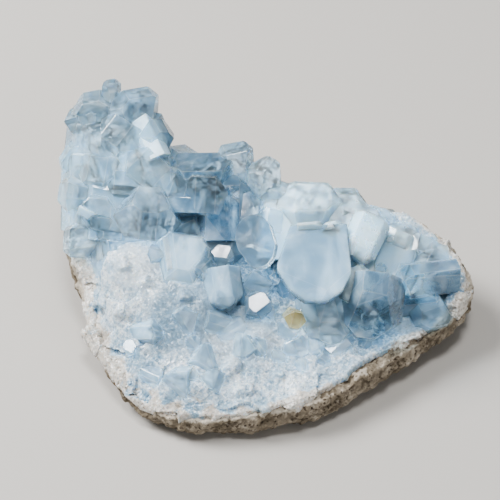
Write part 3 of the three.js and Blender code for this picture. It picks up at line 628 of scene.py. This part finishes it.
# The deep colour is the bluest celestite and also painted shade where the blueness marks a recess.
CLEAR_COLOURS = {
    "pale": (0.78, 0.89, 0.95, 1),
    "deep": (0.25, 0.42, 0.54, 1),
    "cloud": (0.87, 0.93, 0.97, 1),
    "amber": (0.93, 0.64, 0.22, 1),
    "frost": (0.92, 0.95, 0.97, 1),
}
CLOUDS, CLOUDY = {"Scale": 160, "Detail": 6, "Distortion": 1.2}, (0.5, 0.72, 0.0, 0.7)
FLECKS, FLECKED = {"Scale": 900, "Detail": 5, "Distortion": 0.6}, (0.56, 0.66, 0.0, 0.8)
FLECKED_IN_CLOUDS = (0.1, 0.5)
DULL_PATCHES, DULL = {"Scale": 420, "Detail": 4}, (0.42, 0.7, 0.03, 0.2)
HAZY, DULL_IN_HAZE = (0.3, 1.0, 0.0, 0.6), (0.5, 1.0, 0.0, 0.25)
WAVES, WAVE_BUMP = {"Scale": 350, "Detail": 5}, {"Strength": 0.1, "Distance": 0.06 * MM}
CLEARNESS = 0.85
REFRACTION = 1.62
GLOW = {"Subsurface Weight": 1.0, "Subsurface Radius": (1.0, 1.15, 1.3)}  # blue light goes furthest
GLOW_DEPTH = 1.2 * MM
ABSORBED = {"Color": (0.51, 0.70, 0.80, 1), "Density": 50.0}

Crystal = namedtuple("Crystal", "name number small tip grows looks size flat blueness milkiness")


def uneven(n):
    """A repeatable uneven number from 0 to 1 for a whole number n."""
    x = math.sin(n * UNEVEN_STEP + UNEVEN_START) * UNEVEN_FINE
    return x - math.floor(x)


def crystal_faces(crystal, margin=0.0):
    """A crystal's flat faces as (direction, distance) pairs, in a frame with x along its
    length and 0 at its tip, y across its width and z through its thickness."""
    length, width, thick = crystal.size
    draws = iter(range(CRYSTAL_DRAWS * crystal.number, CRYSTAL_DRAWS * (crystal.number + 1)))

    def pick(least, most):
        return least + (most - least) * uneven(next(draws))

    def vary(share):
        return 1 + (uneven(next(draws)) - 0.5) * share

    half_width, half_thick = width / 2, thick / 2
    faces = [((1, 0, 0), 0), ((-1, 0, 0), length)]
    if crystal.name in PLATES:
        faces += [((0, 0, 1), half_thick), ((0, 0, -1), half_thick)]
        end = PLATE_ROUNDNESS * half_width
        for turn in PLATE_TURNS:
            x, y = math.cos(turn), math.sin(turn)
            reach = math.hypot(end * x, half_width * y) - end * x
            faces.append(((x, y, 0), reach * vary(PLATE_VARIES)))
            if crystal.name in OVAL_PLATES:
                faces.append(((-x, y, 0), reach + length * x))
        return [(way, distance + margin) for way, distance in faces]
    end = crystal.flat * half_width
    corner_reach = CORNER_WAY[1] * end + CORNER_WAY[2] * half_thick
    for out in (-1, 1):
        faces.append(((0, 0, out), half_thick * vary(SIDE_VARIES)))
        tip = (math.cos(TIP_ANGLE), out * math.sin(TIP_ANGLE), 0)
        faces.append((tip, math.sin(TIP_ANGLE) * end * vary(TIP_VARIES)))
        if not crystal.small:
            roof = (math.cos(ROOF_ANGLE), 0, out * math.sin(ROOF_ANGLE))
            faces.append((roof, math.sin(ROOF_ANGLE) * half_thick * pick(*ROOF_SHARE)))
        for up in (-1, 1):
            side = (0, out * math.sin(SIDE_ANGLE), up * math.cos(SIDE_ANGLE))
            faces.append((side, math.sin(SIDE_ANGLE) * half_width * vary(SIDE_VARIES)))
            if not crystal.small:
                corner = (CORNER_WAY[0], out * CORNER_WAY[1], up * CORNER_WAY[2])
                faces.append((corner, corner_reach * pick(*CORNER_SHARE)))
    return [(way, distance + margin) for way, distance in faces]


def cut(block, way, distance, is_solid=True):
    """Cuts a mesh with a plane and takes off what is outside it. In a solid it closes the cut."""
    normal = Vector(way).normalized()
    made = bmesh.ops.bisect_plane(
        block, geom=block.verts[:] + block.edges[:] + block.faces[:], dist=CUT_NEAR,
        plane_co=normal * distance / Vector(way).length, plane_no=normal, clear_outer=True,
    )
    rim = [edge for edge in made["geom_cut"] if isinstance(edge, bmesh.types.BMEdge)]
    if is_solid and rim:
        bmesh.ops.edgeloop_fill(block, edges=rim)


def cut_crystal(crystal):
    """A closed mesh: a block larger than the crystal, cut by each of its faces in turn."""
    block = bmesh.new()
    bmesh.ops.create_cube(block, size=UNCUT * max(crystal.size))
    for way, distance in crystal_faces(crystal):
        cut(block, way, distance)
    return block


def crystal_place(crystal):
    """The matrix that puts a crystal's own frame in its place."""
    along = Vector(crystal.grows).normalized()
    across = Vector(crystal.looks).cross(along).normalized()
    through = along.cross(across)
    turn = Matrix((along, across, through)).transposed().to_4x4()
    return Matrix.Translation(Vector(crystal.tip)) @ turn


def crust_ring(turns, share, height=None):
    """Points at a share of the way from the middle to the edge, on the top of the mass."""
    edge = round_edge(turns)
    to_edge = edge[:, :2] - MIDDLE
    inset = 1 - edge[:, 4] / np.linalg.norm(to_edge, axis=1)
    plan = MIDDLE + to_edge * (inset * share)[:, None]
    if height is None:
        height = near_mean(plan, CRUST_LEVELS, LEVEL_REACH)
        lips = near_mean(edge[:, :2], EDGE_LIPS, LIP_REACH)
        height = height + (edge[:, 3] + lips - height) * smooth_step(share, FALL_STARTS, 1)
    return np.column_stack((plan, height))


def tint_at(plan):
    """The blueness, which also paints shade into the recesses, and the whiteness of the crust at each point of
    the plan.
    """
    return [near_mean(plan, CRUST_TINTS, TINT_REACH, column) for column in (2, 3)]


def spiral_crystals(count, lengths, first, clear_only=False):
    """Small crystals spread over the crust, each leaning its own way from straight out."""
    found = []
    for k in range(count):
        n = first + k
        turn = n * GOLDEN_TURN % 1
        share = SPREAD * ((k + 0.5) / count) ** CROWDING
        foot, outward, onward = (
            crust_ring(np.array([turn + more_turn]), share + more_share)[0]
            for more_turn, more_share in ((0, 0), (0, STEP_OUT), (STEP_ROUND, 0))
        )
        draws = [uneven(n * WAY_DRAWS + FIRST_WAY_DRAW + draw) - 0.5 for draw in range(6)]
        straight = Vector(outward - foot).cross(Vector(onward - foot)).normalized()
        grows = (straight + Vector(draws[:3]) * LEAN).normalized()
        length, wide, thick = (
            low + (high - low) * uneven(n + draw)
            for draw, (low, high) in zip(SIZE_DRAWS, (lengths, SMALL_WIDTH, SMALL_THICK))
        )
        blueness, whiteness = (float(value[0]) for value in tint_at(foot[None, :2]))
        is_massive = whiteness > WHITE_ENOUGH
        if clear_only and (is_massive or blueness > RECESS_BLUE):
            continue
        if n in LEFT_OUT or not is_massive and share > CLEAR_WITHIN:
            continue
        out = length * (MASSIVE_OUT if is_massive else CLEAR_OUT - SUNK_IN_WHITE * whiteness)
        found.append(
            Crystal(
                name=f"small {n}", number=len(CRYSTALS) + n, small=True,
                tip=Vector(foot) + grows * out, grows=grows, looks=draws[3:],
                size=(min(length, out + DEEPEST), length * wide, length * wide * thick),
                flat=SMALL_FLAT, blueness=blueness,
                milkiness=MASSIVE if is_massive else SMALL_MILK + whiteness,
            )
        )
    return found


def add_growth_steps(block, faces, chance, count, most_lean, most_depth):
    """Cuts low steps off a crystal, each by a plane that leans a little from one of its faces."""
    for _ in range(count):
        way, _distance = faces[chance.randrange(END_FACES, len(faces))]
        lean = Vector([chance.uniform(-most_lean, most_lean) for _ in range(3)])
        normal = (Vector(way).normalized() + lean).normalized()
        reach = max(normal.dot(vert.co) for vert in block.verts)
        cut(block, normal, reach - chance.uniform(LEAST_STEP, most_depth))


def round_edges(block, width, strips):
    """Rounds all edges of a closed mesh and gives the new faces."""
    return bmesh.ops.bevel(
        block, geom=block.edges[:], offset=width, segments=strips, profile=0.5,
        affect="EDGES", clamp_overlap=True,
    )["faces"]


def finished_crystal(crystal):
    """A clear crystal's solid, with rounded edges, growth steps, and its colours in its faces."""
    block = cut_crystal(crystal)
    if not crystal.small and crystal.name not in OVAL_PLATES:
        chance = random.Random(crystal.number + STEP_SEED)
        steps = BROKEN.get(crystal.name, GROWTH_STEPS)
        add_growth_steps(block, crystal_faces(crystal), chance, *steps)
    bmesh.ops.dissolve_degenerate(block, edges=block.edges[:], dist=SPECK)
    layers = [block.faces.layers.float.new(name) for name in ("blueness", "edge", "amber", "haze")]
    amber = float(crystal.name == "amber stub")
    hazes = random.Random(crystal.number + HAZE_SEED)
    is_plate = crystal.name in PLATES
    for face in block.faces:
        haze = hazes.random() * (1 - CLEARER * crystal.blueness * (1 - crystal.blueness))
        if is_plate or crystal.name in FROSTED:
            haze = 0.0 if is_plate else 1.0
        for layer, value in zip(layers, (crystal.blueness, 0.0, amber, haze)):
            face[layer] = value
    rounded = round_edges(block, *(PLATE_ROUND if is_plate else EDGE_ROUND))
    edge_layer = block.faces.layers.float["edge"]
    for face in rounded:
        face[edge_layer] = EDGE_FROST
    block.transform(Matrix.Scale(MM, 4) @ crystal_place(crystal))
    return bpy.data.objects.new(crystal.name, mesh_of(block, crystal.name))


def join_crystals(crystals):
    """One closed mesh of all the clear crystals."""
    first, *rest = [finished_crystal(crystal) for crystal in crystals]
    others = bpy.data.collections.new("crystals to join")
    bpy.context.scene.collection.children.link(others)
    bpy.context.scene.collection.objects.link(first)
    for crystal in rest:
        others.objects.link(crystal)
    join = first.modifiers.new("grow together", "BOOLEAN")
    join.operation = "UNION"
    join.operand_type = "COLLECTION"
    join.collection = others
    join.solver = "MANIFOLD"
    joined = plain_mesh(first)
    for crystal in (first, *rest):
        bpy.data.objects.remove(crystal)
    bpy.data.collections.remove(others)
    return joined


def clear_material():
    """Clear celestite: tinted by its blueness, which also paints shade into recessed crystals, cloudy in
    patches, and frosted on its edges.
    """
    material, tree = new_material("clear celestite")
    place = object_place(tree)
    colours = CLEAR_COLOURS
    tinted = blend(tree, attribute(tree, "blueness"), colours["pale"], colours["deep"])
    haze = attribute(tree, "haze")
    hazy = blend(tree, spread(tree, haze, *HAZY), tinted, colours["cloud"])
    clouds = spread(tree, noise(tree, place, CLOUDS), *CLOUDY)
    cloudy = blend(tree, clouds, hazy, colours["cloud"])
    flecks = spread(tree, noise(tree, place, FLECKS), *FLECKED)
    flecks = maths(tree, "MULTIPLY", flecks, spread(tree, clouds, *FLECKED_IN_CLOUDS))
    flecked = blend(tree, flecks, cloudy, colours["frost"])
    stained = blend(tree, attribute(tree, "amber"), flecked, colours["amber"])
    dull = spread(tree, noise(tree, place, DULL_PATCHES), *DULL)
    shader = add_node(
        tree,
        "ShaderNodeBsdfPrincipled",
        {
            "Base Color": blend(tree, attribute(tree, "edge"), stained, colours["frost"]),
            "Roughness": maths(tree, "ADD", dull, spread(tree, haze, *DULL_IN_HAZE)),
            "Normal": bumped(tree, noise(tree, place, WAVES), WAVE_BUMP),
            "IOR": REFRACTION,
            "Transmission Weight": CLEARNESS,
            "Subsurface Scale": GLOW_DEPTH,
            **GLOW,
        },
    ).outputs[0]
    passing = add_node(tree, "ShaderNodeBsdfTransparent", {"Color": CRYSTAL_LIGHT}).outputs[0]
    lamp_ray = add_node(tree, "ShaderNodeLightPath").outputs["Is Shadow Ray"]
    mixed = add_node(tree, "ShaderNodeMixShader", {0: lamp_ray, 1: shader, 2: passing}).outputs[0]
    inside = add_node(tree, "ShaderNodeVolumeAbsorption", ABSORBED).outputs[0]
    add_node(tree, "ShaderNodeOutputMaterial", {"Surface": mixed, "Volume": inside})
    return material


def broader(crystal):
    """A crystal as wide and thick as it is here, so that it grows into those next to it."""
    if crystal.small or crystal.name in PLATES:
        return crystal
    length, width, thick = crystal.size
    return crystal._replace(size=(length, width * BROADER, thick * BROADER))


crystals = [
    Crystal(name, number, False, *rest) for number, (name, *rest) in enumerate(CRYSTALS)
]
crystals += spiral_crystals(**PACKED_SMALL) + spiral_crystals(**GAP_FILLERS)
crystals += [
    Crystal(name, FILLER_NUMBERS + n, False, *rest) for n, (name, *rest) in enumerate(LOBE_FILLERS)
]
clear_crystals = [broader(crystal) for crystal in crystals if crystal.milkiness < MASSIVE]
massive_crystals = [crystal for crystal in crystals if crystal.milkiness >= MASSIVE]
joined = new_object("clear_crystals", join_crystals(clear_crystals), clear_material())
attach(joined, "root")
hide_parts("celestite_crust")

# Milky roots. The lower part of each crystal's inside is clouded by tiny bubbles in streaks along
# its length, which follow its faces a little way in. It shows through the clear skin.
ROOT_WIDTH = 0.92  # share of a crystal's width that is milky
PLATE_SKIN = 0.25  # how thick a plate's clear skin is
ROOT_LENGTH = (0.5, 0.47)  # share of its length, and the part of it that milkiness adds
# Deep: the bluest roots, and also painted shade in the recessed crystals.
ROOT_COLOURS = {
    "pale": (0.62, 0.79, 0.88, 1),
    "deep": (0.09, 0.18, 0.27, 1),
    "white": (0.86, 0.92, 0.96, 1),
}
TIP_MILK, TIP_POWER = 0.33, 6  # how much further into the tip the milk of the milkiest goes
STREAK_STRETCH = 0.22
PLATE_CALM, LARGE_CALM = 0.3, 0.5  # the lower, the broader and calmer a crystal's streaks
STREAK_SHIFT = 31.0  # so that no two crystals have the same streaks
STREAKS, STREAKED = {"Scale": 0.7, "Detail": 6, "Roughness": 0.6}, (0.5, 0.68, 0.0, 0.8)
ROOT_CLOUDS, ROOT_CLOUDED = {"Scale": 150, "Detail": 4}, (0.42, 0.7, 0.0, 0.55)
DEPTH_SHIFT = (0.3, 0.7, -0.25, 0.25)  # how much deeper or shallower the milk is in the streaks
MILKY_DEPTH = (0.0, 0.38)
ROOT_ROUGHNESS = 0.6


def add_block(whole, block):
    """Adds a block to a larger mesh, after which the block is done with."""
    mesh = mesh_of(block, "block")
    whole.from_mesh(mesh)
    bpy.data.meshes.remove(mesh)


def milky_roots():
    """All the clear crystals' milky insides in one mesh, with each point's place in its own
    crystal as the attributes along, across and through."""
    roots = bmesh.new()
    for crystal in clear_crystals:
        if crystal.milkiness == 0:
            continue
        is_plate = crystal.name in PLATES
        calm = PLATE_CALM if is_plate else 1 if crystal.small else LARGE_CALM
        length, width, thick = crystal.size
        least, more = ROOT_LENGTH
        root_length = length * (least + more * crystal.milkiness)
        size = (root_length, width * ROOT_WIDTH, thick * ROOT_WIDTH)
        start = length - root_length
        if is_plate:
            size = (length - PLATE_SKIN, width - 2 * PLATE_SKIN, thick - 2 * PLATE_SKIN)
            start = PLATE_SKIN
        back = Vector(crystal.grows).normalized() * start
        root = crystal._replace(size=size, tip=Vector(crystal.tip) - back)
        block = cut_crystal(root)
        if is_plate:
            round_edges(block, *PLATE_ROUND)
        names = ("along", "across", "through", "blueness", "depth")
        *place_layers, blueness, depth = [block.verts.layers.float.new(name) for name in names]
        for vert in block.verts:
            to_tip = TIP_MILK * crystal.milkiness**TIP_POWER - vert.co.x / root_length
            vert[depth] = 1.0 if is_plate else to_tip
            vert[blueness] = crystal.blueness
            for layer, place in zip(place_layers, vert.co):
                vert[layer] = place * calm + STREAK_SHIFT * crystal.number
        block.transform(crystal_place(root))
        add_block(roots, block)
    roots.transform(Matrix.Scale(MM, 4))
    return mesh_of(roots, "milky roots")


def root_material():
    material, tree = new_material("milky celestite")
    colours = ROOT_COLOURS
    along = maths(tree, "MULTIPLY", attribute(tree, "along"), STREAK_STRETCH)
    ways = {"X": along, "Y": attribute(tree, "across"), "Z": attribute(tree, "through")}
    own_place = add_node(tree, "ShaderNodeCombineXYZ", ways).outputs[0]
    streaks = noise(tree, own_place, STREAKS)
    clouds = spread(tree, noise(tree, object_place(tree), ROOT_CLOUDS), *ROOT_CLOUDED)
    tinted = blend(tree, attribute(tree, "blueness"), colours["pale"], colours["deep"])
    clouded = blend(tree, clouds, tinted, colours["white"])
    depth = maths(tree, "ADD", attribute(tree, "depth"), spread(tree, streaks, *DEPTH_SHIFT))
    look = {
        "Base Color": blend(tree, spread(tree, streaks, *STREAKED), clouded, colours["white"]),
        "Alpha": spread(tree, depth, *MILKY_DEPTH),
        "Roughness": ROOT_ROUGHNESS,
        "Subsurface Scale": GLOW_DEPTH,
        **GLOW,
    }
    add_surface(tree, look)
    return material


roots = new_object("milky_roots", milky_roots(), root_material())
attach(roots, "root")
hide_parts("celestite_crust")

# Healed cracks. Cracks that closed again as the crystals grew: thin, curved white sheets inside
# the clear ones, cloudy in patches.
CRACKS_EACH = (1, 2)
UNCRACKED = ("great plate", "lying prism")
CRACK_RADIUS = (0.25, 0.45)  # shares of the crystal's length
CRACK_DEPTH = (0.12, 0.5)  # the same, down from its tip
CRACK_CELLS = 14
CRACK_BEND = 0.12  # share of the radius
CRACK_WAVES = ((1, 0, 1), (0, 1.4, 1), (3, -1, 0.4))  # how often across x and y, and how high
CRACK_INSET = 0.3  # how far they stay inside the crystal's faces
CRACK_THICK = 0.03
CRACK_COLOUR = (0.9, 0.94, 0.96, 1)
CRACK_ROUGHNESS = 0.35
CRACK_PATCHES = {"Scale": 420, "Detail": 7, "Distortion": 1.0}
CRACK_SEEN = (0.48, 0.62, 0.0, 0.75)


def crack(crystal, chance):
    """A curved sheet that lies inside a crystal."""
    radius = crystal.size[0] * chance.uniform(*CRACK_RADIUS)
    sheet = bmesh.new()
    bmesh.ops.create_grid(sheet, x_segments=CRACK_CELLS, y_segments=CRACK_CELLS, size=radius)
    phases = [chance.uniform(0, math.tau) for _ in CRACK_WAVES]
    for vert in sheet.verts:
        x, y = vert.co.x / radius * 2, vert.co.y / radius * 2
        wave = sum(
            height * math.sin(along * x + across * y + phase)
            for (along, across, height), phase in zip(CRACK_WAVES, phases)
        )
        vert.co.z = wave * radius * CRACK_BEND
    turn = Vector([chance.uniform(-1, 1) for _ in range(3)]).to_track_quat("Z", "Y").to_matrix()
    depth = -crystal.size[0] * chance.uniform(*CRACK_DEPTH)
    sheet.transform(Matrix.Translation((depth, 0, 0)) @ turn.to_4x4())
    for way, distance in crystal_faces(crystal, -CRACK_INSET):
        cut(sheet, way, distance, is_solid=False)
    sheet.transform(Matrix.Scale(MM, 4) @ crystal_place(crystal))
    return sheet


crack_material, tree = new_material("healed crack")
crack_look = {
    "Base Color": CRACK_COLOUR,
    "Roughness": CRACK_ROUGHNESS,
    "Alpha": spread(tree, noise(tree, object_place(tree), CRACK_PATCHES), *CRACK_SEEN),
}
add_surface(tree, crack_look)
cracks = bmesh.new()
for crystal in clear_crystals:
    if not crystal.small and crystal.name not in UNCRACKED:
        chance = random.Random(crystal.number)
        for _ in range(chance.randint(*CRACKS_EACH)):
            add_block(cracks, crack(crystal, chance))
thin_cracks = new_object("thin cracks", mesh_of(cracks, "cracks"))
thicken = thin_cracks.modifiers.new("thickness", "SOLIDIFY")
thicken.thickness = CRACK_THICK * MM
healed_cracks = new_object("healed_cracks", plain_mesh(thin_cracks), crack_material)
bpy.data.objects.remove(thin_cracks)
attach(healed_cracks, "root")
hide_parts("celestite_crust")

# Massive celestite. The sugary, hackly white and blue mass that lines the rind, that the
# crystals are rooted in and that makes their lower ends milky. It grew straight onto the rock,
# and its broken front shows flat cleavage chips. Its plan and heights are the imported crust's.
MASS_SPOKES = 180
MASS_RINGS = 44
UNDER_RINGS = (0.3, 0.6, 0.8, 1)  # shares of the way to the edge of the rings on the rock
RIM_FOOT = 1.025  # share of the way to the edge where the rim's slope meets the rock
ROCK_AT_MIDDLE = 8  # height of the rock's hollow in the middle
ROCK_CURVE = 2.2  # the higher, the later it rises on the way to the edge
MASS_ROOT = 1.6  # how far the mass is drawn into the rock
MASS_VOXEL = 0.45 * MM
MASS_SURFACE = {
    "Break Size": 9 * MM, "Break Height": 0.7 * MM,
    "Chip Size": 3 * MM, "Chip Height": 0.16 * MM,
    "Lump Size": 5 * MM, "Lump Height": 0.3 * MM,
    "Grain Size": 0.9 * MM, "Grain Height": 0.02 * MM,
}
RIM_WIDTH = (1.0, 5.0)  # the mass is all pale to the first of these, and not past the second
MILK_IN_CLEAR = 0.4  # whiteness inside a clear crystal, where it isn't blue
BLUE_CLEARS = 3  # the higher, the bluer a crystal has to be to take that whiteness away
RIM_ROUGH = 1.5  # how much rougher the rim is
CALM = 0.8  # how much smoother than the rest the faces of the named massive crystals are
CALM_REACH = (0.75, 0.35)  # shares of a massive crystal's width where it fades in and is full
# Deep: the bluest mass, and also painted shade in its recesses and hollows.
MASS_COLOURS = {
    "pale": (0.51, 0.67, 0.79, 1),
    "deep": (0.20, 0.34, 0.46, 1),
    "white": (0.85, 0.91, 0.95, 1),
}
SUGAR_SAND = {
    "Base": (0.66, 0.63, 0.58, 1),
    "Dark": (0.26, 0.22, 0.17, 1),
    "Pale": (0.88, 0.86, 0.81, 1),
}
BLOTCHES, BLOTCHED = {"Scale": 190, "Detail": 7, "Distortion": 0.8}, (0.42, 0.58, 0.0, 0.9)
CALM_CLOUDS, CALM_CLOUDED = {"Scale": 110, "Detail": 2}, (0.35, 0.65, 0.2, 0.95)
LIVELY = (0.2, 0.9, 1.0, 0.15)
MASS_FLECKS = {"Scale": 1300, "Detail": 4, "Distortion": 0.8}
DARK_FLECKS, WHITE_FLECKS = (0.46, 0.36, 0.0, 0.6), (0.54, 0.62, 0.0, 0.7)
# The hollows' range darkens sunk points towards the deep colour as painted shade; the ridges' range whitens
# raised ones.
RIDGES, SHADED_HOLLOWS = (0.05, 0.3, 0.0, 0.4), (-0.08, -0.4, 0.0, 0.6)
CRACKLE_SIZE = 2.6 * MM
CRACKLE_BENDS, CRACKLE_BEND = {"Scale": 330, "Detail": 3}, (3 * MM, 3 * MM, 3 * MM)
CRACKLE_LINES, CRACKLE_PATCHES = (0.06, 0.01), (0.4, 0.55, 0.0, 0.9)
RIM_TEETH, RIM_FADE = (0.35, 0.65, -0.5, 0.5), (0.5, 0.75)
SPARKLE_SIZE = 0.5 * MM
SPARKLE_SLOPE = 0.45
SPARKLE_VALUES, GLINTS = (0.0, 1.0, 0.88, 1.08), (0.93, 0.95)
SPARKLE_BUMP = {"Strength": 1.0, "Distance": 1.0}
MASS_ROUGHNESS = 0.28
MASS_GLOW = 1.0 * MM


def mass_rings():
    """The closed, smooth form of the mass as one mesh, in millimetres."""
    turns = np.arange(MASS_SPOKES) / MASS_SPOKES
    edge_high = round_edge(turns)[:, 3]

    def under(share):
        height = ROCK_AT_MIDDLE + (edge_high - ROCK_AT_MIDDLE) * share**ROCK_CURVE
        return crust_ring(turns, share, height - MASS_ROOT)

    rings = [under(share) for share in UNDER_RINGS]
    rings.append(crust_ring(turns, RIM_FOOT, edge_high - MASS_ROOT / 2))
    rings += [crust_ring(turns, share) for share in np.linspace(1, 1 / MASS_RINGS, MASS_RINGS)]
    mesh = bmesh.new()
    rows = [[mesh.verts.new(point) for point in points] for points in rings]
    bottom = mesh.verts.new((*MIDDLE, ROCK_AT_MIDDLE - MASS_ROOT))
    top = mesh.verts.new((*MIDDLE, rings[-1][:, 2].mean()))
    for i in range(MASS_SPOKES):
        j = (i + 1) % MASS_SPOKES
        for low, high in zip(rows, rows[1:]):
            mesh.faces.new((low[i], low[j], high[j], high[i]))
        mesh.faces.new((bottom, rows[0][j], rows[0][i]))
        mesh.faces.new((top, rows[-1][i], rows[-1][j]))
    return mesh


def inside_crystal(points, crystal):
    """For each point whether it is inside a crystal."""
    back = np.array(crystal_place(crystal).inverted())
    local = points @ back[:3, :3].T + back[:3, 3]
    inside = np.ones(len(points), dtype=bool)
    for way, distance in crystal_faces(crystal):
        inside &= local @ np.array(way) <= distance
    return inside


def mark_mass(mesh):
    """Marks how blue, with painted shade in the recesses, how white, how calm and how rough the mass is, and
    where its rim is.
    """
    points = points_of(mesh)
    blueness, whiteness = tint_at(points[:, :2])
    calm = np.zeros(len(points))
    for crystal in massive_crystals:
        if not crystal.small:
            back = Vector(crystal.grows).normalized() * crystal.size[0] / 2
            middle = np.array(Vector(crystal.tip) - back)
            far = np.linalg.norm(points - middle, axis=1) / crystal.size[1]
            near = smooth_step(far, *CALM_REACH)
            blueness += (crystal.blueness - blueness) * near
            whiteness += (1 - crystal.blueness - whiteness) * near
            calm = np.maximum(calm, near)
    for crystal in clear_crystals:
        inside = inside_crystal(points, crystal)
        blueness[inside] = crystal.blueness
        whiteness[inside] = MILK_IN_CLEAR * (1 - crystal.blueness**BLUE_CLEARS)
    distance, _top = nearest_edge(points)
    rim = 1 - smooth_step(distance, *RIM_WIDTH)
    rough = 1 - CALM * calm + RIM_ROUGH * rim
    set_values(mesh, calm=calm, blueness=blueness, whiteness=whiteness, rim=rim, rough=rough)


def sparkle_group():
    """Small flat facets that each face their own way, as a height for a Bump node."""
    group = bpy.data.node_groups.new("Sparkle", "ShaderNodeTree")
    add_sockets(group, "INPUT", "Float", {"Size": SPARKLE_SIZE, "Slope": SPARKLE_SLOPE})
    add_sockets(group, "OUTPUT", "Float", {"Height": None, "Each": None})
    given = add_node(group, "NodeGroupInput").outputs
    place = object_place(group)
    facet = cells(group, place, given["Size"])
    height = maths(group, "MULTIPLY", tilts(group, place, facet), given["Slope"])
    each = add_node(group, "ShaderNodeSeparateColor", {0: facet["Color"]}).outputs[0]
    add_node(group, "NodeGroupOutput", {"Height": height, "Each": each})
    return group


def mass_material():
    """Milky celestite: blue where it is clear and deeper blue where shade is painted into recesses, sugary
    white in blotches and on its ridges, with painted shade in its hollows.
    """
    material, tree = new_material("massive celestite")
    place = object_place(tree)
    deep, white = MASS_COLOURS["deep"], MASS_COLOURS["white"]
    raised = attribute(tree, "raised")
    lively = spread(tree, attribute(tree, "calm"), *LIVELY)

    def times(a, b):
        return maths(tree, "MULTIPLY", a, b)

    clear = blend(tree, attribute(tree, "blueness"), MASS_COLOURS["pale"], deep)
    blotches = noise(tree, place, BLOTCHES)
    blotched = spread(tree, blotches, *BLOTCHED)
    clouded = spread(tree, noise(tree, place, CALM_CLOUDS), *CALM_CLOUDED)
    whitened = spread(tree, lively, 0.0, 1.0, clouded, blotched)
    sugar = times(whitened, attribute(tree, "whiteness"))
    colour = blend(tree, sugar, clear, white)
    flecks = noise(tree, place, MASS_FLECKS)
    colour = blend(tree, times(spread(tree, flecks, *DARK_FLECKS), lively), colour, deep)
    colour = blend(tree, times(spread(tree, flecks, *WHITE_FLECKS), lively), colour, white)
    colour = blend(tree, spread(tree, raised, *RIDGES), colour, white)
    # Painted shade: the hollows are darkened towards the deep colour.
    colour = blend(tree, spread(tree, raised, *SHADED_HOLLOWS), colour, deep)

    wander = add_node(tree, "ShaderNodeTexNoise", {"Vector": place, **CRACKLE_BENDS}).outputs["Color"]
    shift = {0: wander, 1: CRACKLE_BEND, 2: place}
    bent = add_node(tree, "ShaderNodeVectorMath", shift, operation="MULTIPLY_ADD").outputs[0]
    plates = {"Vector": bent, "Scale": 1 / CRACKLE_SIZE}
    to_line = add_node(tree, "ShaderNodeTexVoronoi", plates, feature="DISTANCE_TO_EDGE").outputs[0]
    in_patches = times(spread(tree, blotches, *CRACKLE_PATCHES), lively)
    lines = times(spread(tree, to_line, *CRACKLE_LINES), in_patches)
    colour = blend(tree, lines, colour, white)

    toothed = maths(tree, "ADD", attribute(tree, "rim"), spread(tree, blotches, *RIM_TEETH))
    rimmed = spread(tree, toothed, *RIM_FADE)
    colour = blend(tree, rimmed, colour, sand_in(tree, SUGAR_SAND)["Color"])
    facets = {"Size": SPARKLE_SIZE, "Slope": SPARKLE_SLOPE}
    sparkle = add_node(tree, "ShaderNodeGroup", facets, node_tree=sparkle_group()).outputs
    glint = times(spread(tree, sparkle["Each"], *GLINTS), sugar)
    colour = blend(tree, glint, colour, white)
    values = {"Color": colour, "Value": spread(tree, sparkle["Each"], *SPARKLE_VALUES)}
    look = {
        "Base Color": add_node(tree, "ShaderNodeHueSaturation", values).outputs[0],
        "Roughness": MASS_ROUGHNESS,
        "Normal": bumped(tree, sparkle["Height"], SPARKLE_BUMP),
        "IOR": REFRACTION,
        "Subsurface Scale": MASS_GLOW,
        **GLOW,
    }
    add_surface(tree, look)
    return material


mass_form = mass_rings()
for crystal in massive_crystals:
    if crystal.small:
        block = cut_crystal(crystal)
        block.transform(crystal_place(crystal))
        add_block(mass_form, block)
mass_form.transform(Matrix.Scale(MM, 4))
smooth_mass = new_object("smooth mass", even_faces(mesh_of(mass_form, "mass form"), MASS_VOXEL))
mark_mass(smooth_mass.data)
mass_mesh = grown(smooth_mass, break_up, mass_material(), MASS_SURFACE)
massive = new_object("massive_celestite", mass_mesh)
bpy.data.objects.remove(smooth_mass)
massive.data.shade_flat()
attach(massive, "root")
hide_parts("celestite_crust")
